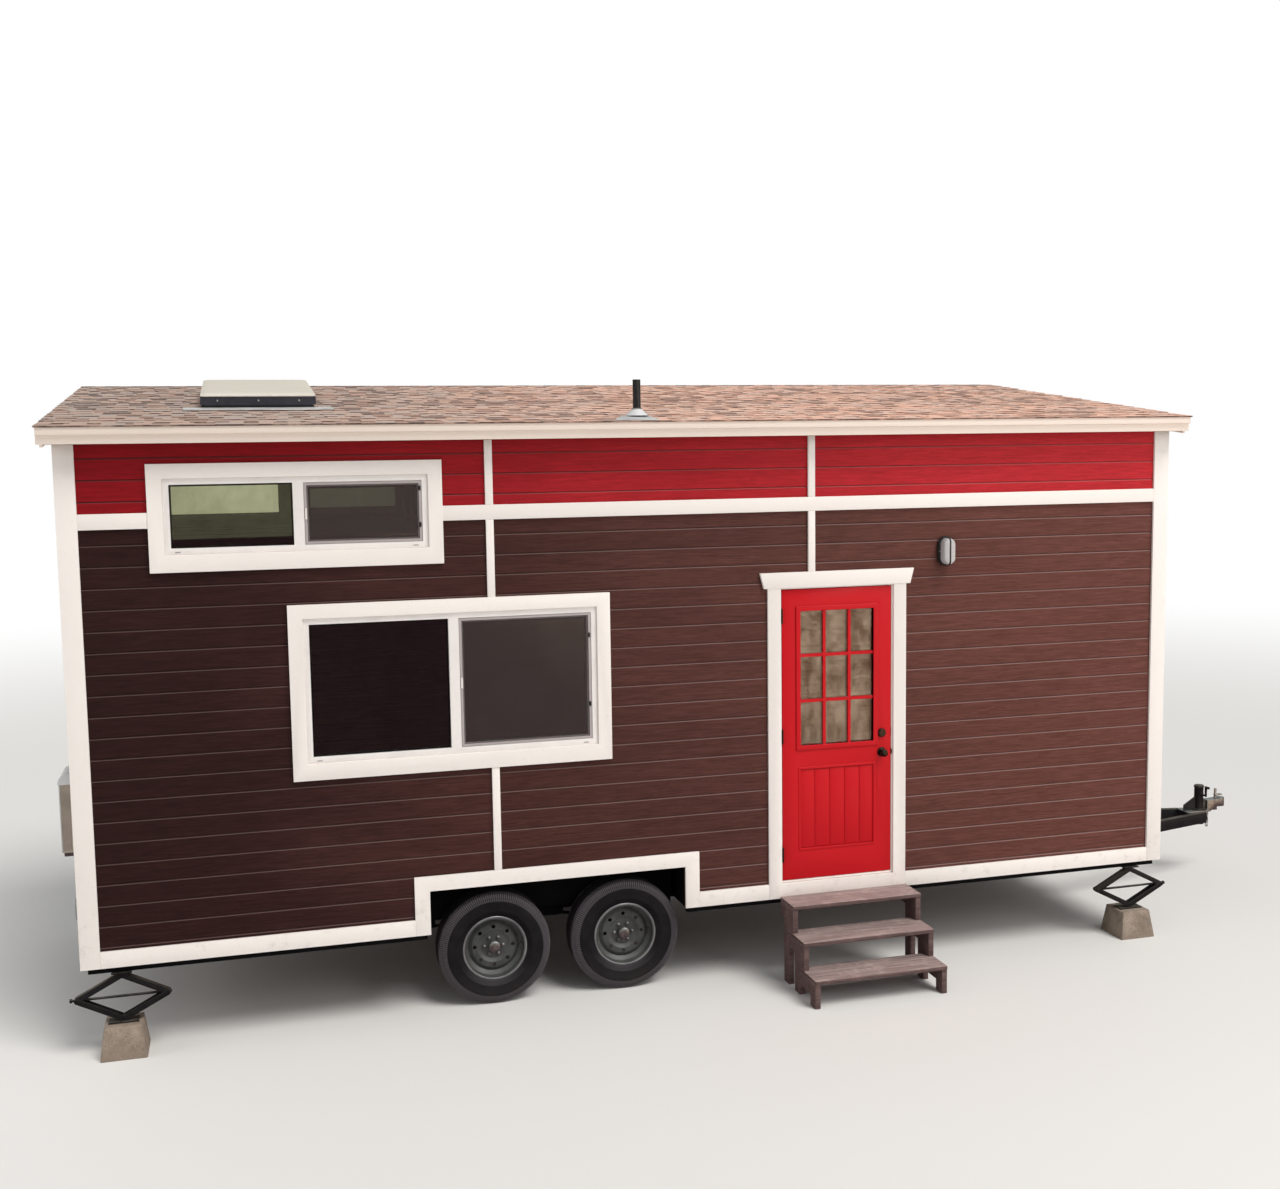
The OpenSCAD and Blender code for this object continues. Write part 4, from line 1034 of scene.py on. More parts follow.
RIM_EDGE = Steel("worn_rim_edge", (0.42, 0.43, 0.45), 0.36, 0.60, 0.06, 0.15)
BRONZE = Steel("oil_rubbed_bronze", (0.050, 0.036, 0.028), 0.32, 0.85)
SPACER_METAL = Steel("pane_spacer_metal", (0.30, 0.31, 0.32), 0.42, 0.85, 0.0, 0.25)
DARK_METAL = Steel("dark_curb_metal", (0.040, 0.042, 0.060), 0.42, 0.15, 0.0, 0.35)
FLASHING = Steel("pale_flashing", (0.78, 0.78, 0.77), 0.45, 0.10, 0.0, 0.12)
POWDER_WHITE = Plastic("white_powder_coat", (0.94, 0.94, 0.93), (0.60, 0.54, 0.48), rough=0.42, amount=0.14)
BOOT_GREY = Plastic("grey_boot_rubber", (0.72, 0.72, 0.73), rough=0.45)
TIRE = Rubber()
# The lugs are paler than the tire, partly scuffs and dust and partly a painted highlight for the lit ribs.
TREAD = Rubber("scuffed_and_highlit_tread_rubber", (0.078, 0.070, 0.079), (0.14, 0.12, 0.12), (0.27, 0.24, 0.265))
# The step boards get painted shade on their upright sides.
STEP_WOOD = Timber(
    "weathered_step_boards", (0.430, 0.322, 0.302), (0.200, 0.138, 0.130), rough=0.80, worn=0.25, sides=0.85
)
LINING = Timber("wall_lining", (0.30, 0.19, 0.12), (0.17, 0.10, 0.06), 0.140, "Z", 0.6)
CEILING = Timber("ceiling_boards", (0.34, 0.23, 0.14), (0.20, 0.12, 0.07), 0.140, "Y", 0.6)
FLOORING = Timber("floor_boards", (0.26, 0.15, 0.085), (0.13, 0.07, 0.04), 0.125, "Y", 0.45)
CONCRETE = Concrete()
VINYL = Plastic("white_vinyl", (0.89, 0.84, 0.81), rough=0.36)
# The screen's rail is painted mid grey as painted shade, where the window frame shades it.
PAINTED_SHADE_RAIL = Plastic("painted_shade_screen_rail", (0.44, 0.39, 0.39), rough=0.45)
BLACK_PLASTIC = Plastic("black_plastic", (0.010, 0.010, 0.012), amount=0.10, shine=0.30)
GREY_PLASTIC = Plastic("grey_plastic", (0.33, 0.34, 0.35))
FIN_TAN = Plastic("soiled_heater_fins", (0.72, 0.62, 0.52), (0.40, 0.31, 0.24), rough=0.5, amount=0.45)
GASKET = Plastic("black_gasket", (0.022, 0.022, 0.024), rough=0.6)
ACRYLIC = Plastic("dusty_acrylic", (0.88, 0.815, 0.715), (0.50, 0.41, 0.30), rough=0.32, amount=0.30)
OPAL = Plastic("opal_glass", (0.50, 0.485, 0.49), rough=0.18, amount=0.08, glow=0.1)
GLASS = Glass()
SCREEN = Screen()


def fit(
    piece: Piece, finish: Finish, body: str = "house", stands_for: Sequence[str] = ()
) -> Piece:
    """Dresses a finished piece and makes it ride on its body.

    Args:
        piece: The piece, in place.
        finish: Its finish.
        body: The body that it moves with.
        stands_for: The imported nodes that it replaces.

    Returns:
        The same piece.
    """
    piece.data.materials.clear()
    piece.data.materials.append(finish.material())
    only(piece)
    bpy.ops.object.shade_smooth_by_angle(angle=SMOOTH_ANGLE)
    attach(piece, body)
    if stands_for:
        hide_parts(*stands_for)
    LOG.info("%s: %d faces, on %s", piece.name, len(piece.data.polygons), body)
    return piece


def recast(node: str, name: str, finish: Finish, ease: Span, body: str = "house") -> Piece:
    """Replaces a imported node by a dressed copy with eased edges.

    Args:
        node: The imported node.
        name: The copy's name.
        finish: Its finish.
        ease: The width and steps of the easing.
        body: The body that it moves with.

    Returns:
        The copy.
    """
    return fit(eased(from_node(node, name), *ease), finish, body, [node])


def dress(finish: Finish, *nodes: str) -> None:
    """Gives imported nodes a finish.

    Args:
        finish: The finish.
        *nodes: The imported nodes.
    """
    for node in nodes:
        for holder in frame["nodes"][node].material_slots:
            holder.material = finish.material()


@dataclass(frozen=True)
class Plot:
    """Where the house stands in the shared frame, read from its packed boards."""

    left: float
    front: float
    right: float
    back: float
    slope: float
    eave: float

    @classmethod
    def packed(cls) -> "Plot":
        """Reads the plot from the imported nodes.

        Returns:
            The plot.
        """
        low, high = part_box("lower_siding")
        roof_low, roof_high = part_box("roof_shingles")
        slope = (roof_high.z - roof_low.z - SHINGLE_SHEET) / (roof_high.y - roof_low.y)
        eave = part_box("upper_siding")[1].z - (high.y - low.y) * slope
        return cls(low.x, low.y, high.x, high.y, slope, eave)

    @property
    def length(self) -> float:
        """The length of the long walls."""
        return self.right - self.left

    @property
    def depth(self) -> float:
        """The length of the end walls."""
        return self.back - self.front

    @property
    def pitch(self) -> float:
        """The roof's slope as an angle."""
        return math.atan(self.slope)

    def at(self, x: float, y: float, z: float) -> Vector:
        """Gives a point from its distances to the front left corner."""
        return Vector((self.left + x, self.front + y, z))

    def to_back(self, piece: Piece) -> None:
        """Mirrors a piece from the front wall to the back wall.

        Args:
            piece: The piece.
        """
        mirror = Matrix.Scale(-1, 4, (0, 1, 0))
        piece.data.transform(Matrix.Translation((0, self.front + self.back, 0)) @ mirror)
        open_up(piece)
        bpy.ops.mesh.normals_make_consistent(inside=False)
        done()


class Side(Enum):
    """The sides of the house, by their turn from the front in quarter turns."""

    FRONT = 0
    RIGHT = 1
    BACK = 2
    LEFT = 3


@dataclass(frozen=True)
class Hole:
    """An opening through a long wall, from the left corner and the ground."""

    x: float
    z: float
    width: float
    height: float
    back: bool = False
    reach: float = 0.06

    def cutter(self, plot: Plot) -> Piece:
        """Makes the solid that cuts this opening out of the boards.

        Args:
            plot: Where the house stands.

        Returns:
            The solid.
        """
        y = plot.depth if self.back else 0.0
        xs, zs = (self.x, self.x + self.width), (self.z, self.z + self.height)
        return slab("cutter", plot.at, xs, (y - self.reach, y + self.reach), zs)


MAIN_WINDOW = Hole(1.382, 1.745, 1.887, 0.918)
LOFT_WINDOW = Hole(0.587, 3.089, 1.598, 0.462)
BACK_LOFT_WINDOW = Hole(0.430, 3.190, 1.887, 0.462, True)
BACK_WINDOW = Hole(4.560, 1.745, 0.900, 0.918, True)
WHEEL_OPENING = Hole(2.124, 0.500, 1.738, 0.350)
BACK_WHEEL_OPENING = Hole(2.124, 0.500, 1.738, 0.350, True)
DOORWAY = Hole(4.553, 0.665, 0.863, 2.076)


@dataclass
class Siding:
    """Horizontal boards on all four sides, with a coved top edge at each joint."""

    plot: Plot
    course: float = 0.130
    thick: float = 0.018
    cove: float = 0.0085
    drip: float = 0.002
    joint: float = 0.0015
    inset: float = 0.019

    def board(self, length: float, z: float) -> Piece:
        """Models one board along X with its face at Y 0.

        Args:
            length: The board's length.
            z: The height of its foot.

        Returns:
            The board.
        """
        top = z + self.course - self.joint
        piece = block("board", (0, 0, z), (length, self.thick, top))
        chamfer(piece, lambda m, d: m.z > top - HAIR and m.y < HAIR and abs(d.x) > 0.9, self.cove, 2, 0.25)
        return chamfer(piece, lambda m, d: m.z < z + HAIR and m.y < HAIR and abs(d.x) > 0.9, self.drip)

    def wall(self, side: Side, low: float, high: float | None, holes: Sequence[Hole]) -> Piece:
        """Covers one side between two levels, or up to the roof.

        Args:
            side: Which side.
            low: The lower level.
            high: The upper level, or None for the roof.
            holes: The openings to cut.

        Returns:
            The boards of that side as one piece.
        """
        plot = self.plot
        long_side = side in (Side.FRONT, Side.BACK)
        edge = self.inset if long_side else 0.0
        length = (plot.length if long_side else plot.depth) - 2 * edge
        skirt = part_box("lower_siding")[0].z
        first = math.floor((low - skirt) / self.course)
        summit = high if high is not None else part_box("upper_siding")[1].z
        count = math.ceil((summit - skirt) / self.course) - first
        stack = repeated(self.board(length, skirt + first * self.course), count, (0, 0, self.course))
        corner = {
            Side.FRONT: (plot.left + edge, plot.front, 0),
            Side.RIGHT: (plot.right, plot.front, 0),
            Side.BACK: (plot.right - edge, plot.back, 0),
            Side.LEFT: (plot.left, plot.back, 0),
        }[side]
        placed(stack, corner, (0, 0, side.value * QUARTER))
        if low > skirt + HAIR:
            trimmed(stack, (0, 0, low), (0, 0, -1))
        if high is None:
            trimmed(stack, (0, plot.front, plot.eave), (0, -plot.slope, 1))
        else:
            trimmed(stack, (0, 0, high), (0, 0, 1))
        return cut(stack, [hole.cutter(plot) for hole in holes])

    def build(self) -> None:
        """Lays the brown boards below the band and the red ones above it."""
        low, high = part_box("lower_siding")
        brown = {
            Side.FRONT: [MAIN_WINDOW, LOFT_WINDOW, WHEEL_OPENING, DOORWAY],
            Side.BACK: [BACK_LOFT_WINDOW, BACK_WINDOW, BACK_WHEEL_OPENING],
            Side.LEFT: [],
            Side.RIGHT: [],
        }
        red = {Side.FRONT: [LOFT_WINDOW], Side.BACK: [BACK_LOFT_WINDOW], Side.LEFT: [], Side.RIGHT: []}
        for color, finish, node, foot, top, holes in (
            ("brown", BROWN_STAIN, "lower_siding", low.z, high.z, brown),
            ("red", RED_STAIN, "upper_siding", high.z, None, red),
        ):
            walls = [self.wall(side, foot, top, holes[side]) for side in holes]
            fit(joined(f"{color}_boards", walls), finish, stands_for=[node])


@dataclass
class Roofing:
    """Laminated shingles laid in courses from the front eave to the back."""

    plot: Plot
    exposure: float = 0.143
    lap: float = 0.018
    base: Span = (0.0068, 0.0040)
    tab: Span = (0.0097, 0.0066)
    tab_sink: float = 0.002
    tab_over: float = 0.004
    widths: Span = (0.07, 0.17)
    gaps: Span = (0.04, 0.12)
    least: float = 0.02
    under_curb: float = 0.064
    under_apron: float = 0.050
    back_edge: float = 0.025
    seed: int = 11

    def wedge(self, name: str, width: float, low: float, ends: Span, reach: float) -> Piece:
        """Models one layer that thins towards its tail.

        Args:
            name: The piece's name.
            width: Its width.
            low: The height of its underside at the butt.
            ends: The heights of its butt edge and its tail.
            reach: Its length up the slope.

        Returns:
            The layer, lying on the deck plane.
        """
        butt, tail = ends
        piece = block(name, (0, 0, low), (width, reach, butt))
        return nudged(piece, lambda p, n: p.y > reach - HAIR and p.z > butt - HAIR, (0, 0, tail - butt))

    def course(self, spans: Sequence[Span], rng: random.Random) -> tuple[Piece, list[float]]:
        """Lays one course: a base layer and a row of tabs of different widths.

        Args:
            spans: The stretches along the eave that it covers, as (start, end).
            rng: Where the widths and tones come from.

        Returns:
            The course, and the tone of each of its layers.
        """
        layers, tones = [], []
        tone = rng.random()
        for start, end in spans:
            base = self.wedge("base", end - start, 0.0, self.base, self.exposure + self.lap)
            base.data.transform(Matrix.Translation((start, 0, 0)))
            layers.append(base)
            tones.append(tone)
        under = self.base[0] - self.tab_sink
        tab = self.wedge("tab", 1.0, under, self.tab, self.exposure + self.tab_over)
        x = -rng.uniform(*self.gaps)
        while x < spans[-1][1]:
            width, tone = rng.uniform(*self.widths), rng.random()
            for low, high in spans:
                start, end = max(x, low), min(x + width, high)
                if end - start > self.least:
                    stretch = Matrix.Scale(end - start, 4, (1, 0, 0))
                    layers.append(copied(tab, "tab", Matrix.Translation((start, 0, 0)) @ stretch))
                    tones.append(tone)
            x += width + rng.uniform(*self.gaps)
        bpy.data.objects.remove(tab)
        return joined("course", layers), tones

    def mark(self, piece: Piece, tones: Sequence[float]) -> None:
        """Writes each layer's tone to its six faces."""
        layer = piece.data.attributes.new("tone", "FLOAT", "FACE")
        layer.data.foreach_set("value", [tones[i // 6] for i in range(len(piece.data.polygons))])

    def build(self) -> None:
        """Lays every course, stops it at the skylight's curb and turns the roof to its slope."""
        pitch = self.plot.pitch
        low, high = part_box("roof_shingles")
        sky_low, sky_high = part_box("skylight_lid")
        run, rise = (high.y - low.y) / math.cos(pitch), self.exposure * math.cos(pitch)
        length = high.x - low.x
        curb = (sky_low.x + self.under_curb - low.x, sky_high.x - self.under_curb - low.x)
        whole, split = [(0.0, length)], [(0.0, curb[0]), (curb[1], length)]
        slope_turn = Matrix.Translation((low.x, low.y, low.z)) @ Matrix.Rotation(pitch, 4, "X")
        rng = random.Random(self.seed)
        courses = []
        for i in range(math.ceil(run / self.exposure)):
            y = low.y + i * rise
            inside = sky_low.y - self.under_apron < y < sky_high.y - self.back_edge - rise
            piece, tones = self.course(split if inside else whole, rng)
            self.mark(piece, tones)
            piece.data.transform(slope_turn @ Matrix.Translation((0, i * self.exposure, 0)))
            if (i + 1) * self.exposure + self.lap > run:
                trimmed(piece, high, (0, 1, 0))
            courses.append(piece)
        fit(joined("laid_shingles", courses), SHINGLES, stands_for=["roof_shingles"])


@dataclass
class Trim:
    """The cream boards, with their edges eased."""

    ease: Span = (0.0025, 2)

    def build(self) -> None:
        """Eases and paints each packed group of trim boards."""
        for node in (
            "corner_boards", "belly_band", "battens", "skirt_boards", "wheel_opening_trim", "window_casings",
            "door_casing", "fascia", "door_jamb",
        ):
            paint = FASCIA_CREAM if node == "fascia" else CREAM
            recast(node, f"{node}_painted", paint, self.ease)


@dataclass
class Slider:
    """One horizontal slider: a fixed light on the left and a sash with a screen on the right."""

    plot: Plot
    hole: Hole
    name: str
    face: float = 0.038
    mullion: float = 0.066
    sash: float = 0.028
    glass_front: float = 0.014
    pane: float = 0.004
    pane_ease: float = 0.0006
    unit: float = 0.018
    spacer: float = 0.011
    bead: float = 0.007
    bead_y: Span = (0.0055, 0.0005)
    gasket: float = 0.004
    gasket_out: float = 0.0025
    ease: float = 0.002
    rail: float = 0.016
    screen_half: float = 0.004
    screen_gap: float = 0.002
    veil_in: tuple = (0.014, 0.0036, 0.014)
    latch_x: Span = (0.020, 0.006)
    latch_y: Span = (-0.010, -0.003)
    latch_tall: float = 0.030
    latch_up: Span = (0.28, 0.78)
    pull_x: Span = (0.006, 0.018)
    pull_y: Span = (-0.012, -0.003)
    pull_half: float = 0.035
    pull_rim: float = 0.003
    pull_dish: float = 0.004
    weep_wide: float = 0.032
    weep_y: Span = (-0.0105, -0.008)
    weep_z: Span = (0.012, 0.018)
    weep_ease: float = 0.0008

    @property
    def light(self) -> float:
        """The width of one light inside the frame."""
        return (self.hole.width - self.mullion) / 2 - self.face

    @property
    def sash_x(self) -> float:
        """Where the right-hand light starts."""
        return self.hole.width - self.face - self.light

    def spot(self, x: float, y: float, z: float) -> Vector:
        """Gives a point from the window's lower left corner on the front wall."""
        return self.plot.at(self.hole.x + x, y, self.hole.z + z)

    def ring(self, name: str, xs: Span, ys: Span, zs: Span, margin: float) -> Piece:
        """Models a frame in the window.

        Args:
            name: The frame's name.
            xs: Its left and right.
            ys: Its front and back.
            zs: Its foot and top.
            margin: The width of its members.

        Returns:
            The frame.
        """
        return hoop(name, *(self.spot(*corner) for corner in zip(xs, ys, zs)), margin)

    def lights(self) -> list[tuple[Span, Span]]:
        """Measures the two lights.

        Returns:
            The span along X and Z of each sheet of glass.
        """
        face, height, right = self.face, self.hole.height, self.sash_x
        return [
            ((face, face + self.light), (face, height - face)),
            (
                (right + self.sash, right + self.light - self.sash),
                (face + self.sash, height - face - self.sash),
            ),
        ]

    def hand_over(self, pieces: list[Piece], part: str, finish: Finish) -> None:
        """Joins a window's like pieces, takes them to their own wall and dresses them.

        Args:
            pieces: The pieces.
            part: The last part of their name.
            finish: Their finish.
        """
        piece = joined(f"{self.name}_{part}", pieces)
        if self.hole.back:
            self.plot.to_back(piece)
        fit(piece, finish)

    def build(self) -> None:
        """Models the panes, spacers, beads, gaskets, screen, latches and weep covers."""
        front, back = self.glass_front, self.glass_front + self.unit
        panes, spacers, beads, gaskets = [], [], [], []
        for xs, zs in self.lights():
            for y in (front, back - self.pane):
                pane = slab("pane", self.spot, xs, (y, y + self.pane), zs)
                panes.append(eased(pane, self.pane_ease, 1))
            spacers.append(self.ring("spacer", xs, (front + self.pane, back - self.pane), zs, self.spacer))
            gaskets.append(self.ring("gasket", xs, (front - self.gasket_out, front), zs, self.gasket))
            wide, tall = ((low - self.bead, high + self.bead) for low, high in (xs, zs))
            ys = tuple(front - out for out in self.bead_y)
            beads.append(eased(self.ring("bead", wide, ys, tall, self.bead), self.ease))
        self.hand_over(panes, "panes", GLASS)
        self.hand_over(spacers, "spacers", SPACER_METAL)
        self.hand_over(gaskets, "gaskets", GASKET)
        self.hand_over(beads, "beads", VINYL)
        self.screen()
        self.small_parts()

    def screen(self) -> None:
        """Hangs the insect screen in front of the sash."""
        gap, half = self.screen_gap, self.screen_half
        low = self.spot(self.sash_x + gap, -half, self.face + gap)
        high = self.spot(self.sash_x + self.light - gap, half, self.hole.height - self.face - gap)
        rail = eased(hoop("rail", low, high, self.rail), self.ease)
        # The rail's grey finish is painted shade.
        self.hand_over([rail], "screen_frame", PAINTED_SHADE_RAIL)
        veil = block("veil", low + Vector(self.veil_in), high - Vector(self.veil_in))
        self.hand_over([veil], "screen", SCREEN)

    def small_parts(self) -> None:
        """Adds the screen's latches, the sash pull and the weep covers in the sill."""
        right, height = self.hole.width - self.face, self.hole.height
        latches = []
        for z in (height * share for share in self.latch_up):
            xs = tuple(right - x for x in self.latch_x)
            latch = slab("latch", self.spot, xs, self.latch_y, (z, z + self.latch_tall))
            latches.append(eased(latch, self.ease))
        self.hand_over(latches, "screen_latches", BLACK_PLASTIC)
        xs, middle = tuple(self.sash_x + x for x in self.pull_x), height * 0.5
        pull = slab("pull", self.spot, xs, self.pull_y, (middle - self.pull_half, middle + self.pull_half))
        pick(pull, lambda m, n: n.y < -0.9)
        bpy.ops.mesh.inset(thickness=self.pull_rim)
        bpy.ops.transform.translate(value=(0, self.pull_dish, 0))
        done()
        self.hand_over([pull], "sash_pull", VINYL)
        covers = []
        for x in (self.face * 1.6, self.hole.width - self.face * 2.6):
            cover = slab("weep", self.spot, (x, x + self.weep_wide), self.weep_y, self.weep_z)
            covers.append(eased(cover, self.weep_ease))
        self.hand_over(covers, "weep_covers", GREY_PLASTIC)


@dataclass
class Windows:
    """The four slider windows."""

    plot: Plot
    ease: Span = (0.0025, 2)

    def build(self) -> None:
        """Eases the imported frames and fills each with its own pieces."""
        recast("window_frames", "window_frames_moulded", VINYL, self.ease)
        for name, hole in (
            ("main_window", MAIN_WINDOW),
            ("loft_window", LOFT_WINDOW),
            ("back_loft_window", BACK_LOFT_WINDOW),
            ("back_window", BACK_WINDOW),
        ):
            Slider(self.plot, hole, name).build()
        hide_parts("window_glass")


@dataclass
class Door:
    """The red door with nine lights over a planked panel."""

    width: float = 0.813
    thick: float = 0.045
    ease: Span = (0.0025, 2)
    lite: tuple = (0.561, 0.952, 0.937)
    panel: tuple = (0.560, 0.572, 0.209)
    moulding: float = 0.035
    moulding_in: float = 0.008
    moulding_y: Span = (-0.010, 0.001)
    moulding_ease: Span = (0.0075, 4)
    bead: float = 0.017
    bead_in: float = 0.006
    bead_y: Span = (-0.004, 0.006)
    bead_ease: Span = (0.0035, 3)
    pane: float = 0.004
    pane_ease: Span = (0.0006, 1)
    spacer: float = 0.009
    backset: float = 0.070
    knob_up: float = 0.858
    bolt_up: float = 0.137
    sides: int = 40
    knob: tuple = (
        (0.033, 0), (0.0335, 0.003), (0.031, 0.006), (0.024, 0.008), (0.0135, 0.010), (0.0115, 0.016),
        (0.0115, 0.028), (0.0150, 0.032), (0.0235, 0.036), (0.0270, 0.042), (0.0275, 0.048),
        (0.0250, 0.055), (0.0190, 0.059), (0.0080, 0.0600),
    )
    bolt: tuple = (
        (0.0310, 0), (0.0312, 0.004), (0.0300, 0.010), (0.0262, 0.018), (0.0240, 0.0195),
        (0.0150, 0.0198), (0.0145, 0.0180), (0.0050, 0.0180),
    )
    rose: tuple = ((0.030, 0), (0.0298, 0.006), (0.026, 0.010), (0.006, 0.010))
    thumb: tuple = (0.004, (0.009, 0.026), 0.017)
    thumb_ease: Span = (0.003, 3)
    keyway: tuple = (0.0012, (-0.0186, -0.0178), 0.006)
    keyway_ease: float = 0.0004
    latch: tuple = ((-0.0005, 0.0012), 0.0125, 0.028)
    jamb_gap: float = 0.005
    strike: tuple = ((-0.0012, 0.001), (0.004, 0.040), 0.03)
    lip: tuple = ((-0.0012, 0.004), (-0.004, 0.005), 0.016)
    plate_ease: float = 0.0005

    def spot(self, x: float, y: float, z: float) -> Vector:
        """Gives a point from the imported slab's lower left front corner."""
        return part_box("door_slab")[0] + Vector((x, y, z))

    def frames(self, name: str, opening: tuple, out: float, ys: Span, margin: float, ease: Span) -> Piece:
        """Frames an opening on both faces of the door.

        Args:
            name: The name of the two frames together.
            opening: The opening's width, height and foot.
            out: How far the frame reaches past it.
            ys: The front frame's front and back. The one at the back mirrors them.
            margin: The width of the frame's members.
            ease: The width and steps of their rounding.

        Returns:
            The two frames as one piece.
        """
        width, height, foot = opening
        x0 = (self.width - width) / 2
        rings = []
        for y0, y1 in (ys, (self.thick - ys[1], self.thick - ys[0])):
            low = self.spot(x0 - out, y0, foot - out)
            high = self.spot(x0 + width + out, y1, foot + height + out)
            rings.append(eased(hoop("ring", low, high, margin), *ease))
        return joined(name, rings)

    def build(self) -> None:
        """Eases the slab and adds mouldings, panes and hardware."""
        recast("door_slab", "door_leaf", DOOR_RED, self.ease, "door")
        for name, opening, out, ys, margin, ease in (
            (
                "lite_mouldings", self.lite, self.moulding - self.moulding_in, self.moulding_y, self.moulding,
                self.moulding_ease,
            ),
            ("panel_beads", self.panel, self.bead - self.bead_in, self.bead_y, self.bead, self.bead_ease),
        ):
            fit(self.frames(name, opening, out, ys, margin, ease), DOOR_RED, "door")
        self.glazing()
        self.turnings()
        self.plates()
        dress(BRONZE, "door_hinges", "jamb_hinges")

    def glazing(self) -> None:
        """Sets the double pane behind the glazing bars."""
        low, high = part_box("door_glass")
        pane = self.pane
        panes = [block("pane", (low.x, y, low.z), (high.x, y + pane, high.z)) for y in (low.y, high.y - pane)]
        panes = joined("door_panes", [eased(piece, *self.pane_ease) for piece in panes])
        fit(panes, GLASS, "door", ["door_glass"])
        front, back = (low.x, low.y + pane, low.z), (high.x, high.y - pane, high.z)
        spacer = hoop("door_spacer", front, back, self.spacer)
        fit(spacer, DARK_METAL, "door")

    def turnings(self) -> None:
        """Turns the knobs and the deadbolt on their roses, and sets a black block in the deadbolt's face as
        painted shade of the keyway.
        """
        x, bolt_z = self.width - self.backset, self.knob_up + self.bolt_up
        pieces = [
            placed(turned("turning", outline, self.sides), self.spot(x, y, z), (turn, 0, 0))
            for outline, y, z, turn in (
                (self.knob, 0.0, self.knob_up, QUARTER), (self.knob, self.thick, self.knob_up, -QUARTER),
                (self.bolt, 0.0, bolt_z, QUARTER), (self.rose, self.thick, bolt_z, -QUARTER),
            )
        ]
        half, ys, tall = self.thumb
        ys = tuple(self.thick + y for y in ys)
        thumb = slab("thumb", self.spot, (x - half, x + half), ys, (bolt_z - tall, bolt_z + tall))
        pieces.append(eased(thumb, *self.thumb_ease))
        fit(joined("knobs_and_bolt", pieces), BRONZE, "door", ["door_hardware"])
        # Painted shade: a black sliver on the deadbolt's face stands for the dark keyway slot.
        half, ys, tall = self.keyway
        key = slab("keyway", self.spot, (x - half, x + half), ys, (bolt_z - tall, bolt_z + tall))
        fit(eased(key, self.keyway_ease), GASKET, "door")

    def plates(self) -> None:
        """Lets the latch plate into the door's edge and the strike plates into the jamb."""
        xs, half, tall = self.latch
        xs, ys = tuple(self.width + x for x in xs), (self.thick / 2 - half, self.thick / 2 + half)
        plate = slab("latch_plate", self.spot, xs, ys, (self.knob_up - tall, self.knob_up + tall))
        fit(eased(plate, self.plate_ease), BRONZE, "door")
        jamb = self.width + self.jamb_gap
        strikes = []
        for (xs, ys, tall), z in (
            (self.strike, self.knob_up), (self.strike, self.knob_up + self.bolt_up), (self.lip, self.knob_up)
        ):
            plate = slab("strike", self.spot, tuple(jamb + x for x in xs), ys, (z - tall, z + tall))
            strikes.append(eased(plate, self.plate_ease))
        fit(joined("strike_plates", strikes), BRONZE)


@dataclass
class Steps:
    """Three open steps of weathered boards, screwed down to their frames."""

    count: int = 3
    rise: float = 0.192
    run: float = 0.198
    depth: float = 0.280
    top_depth: float = 0.237
    tread_ease: Span = (0.004, 3)
    frame_ease: Span = (0.0025, 2)
    screw_in: Span = (0.019, 0.045)
    screw: tuple = ((0.0045, 0), (0.0045, 0.0006), (0.0030, 0.0009), (0.0012, 0.0006))

    def build(self) -> None:
        """Eases the treads and their frames and sinks the screws."""
        recast("step_treads", "tread_boards", STEP_WOOD, self.tread_ease)
        recast("step_frames", "step_sides", STEP_WOOD, self.frame_ease)
        low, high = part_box("step_treads")
        side, end = self.screw_in
        heads = []
        for i in range(self.count):
            depth = self.depth if i < self.count - 1 else self.top_depth
            for x in (low.x + side, high.x - side):
                for y in (end, depth - end):
                    place = (x, low.y + i * self.run + y, (i + 1) * self.rise)
                    heads.append(placed(turned("screw", self.screw, 12), place))
        fit(joined("tread_screws", heads), BLACK_STEEL)


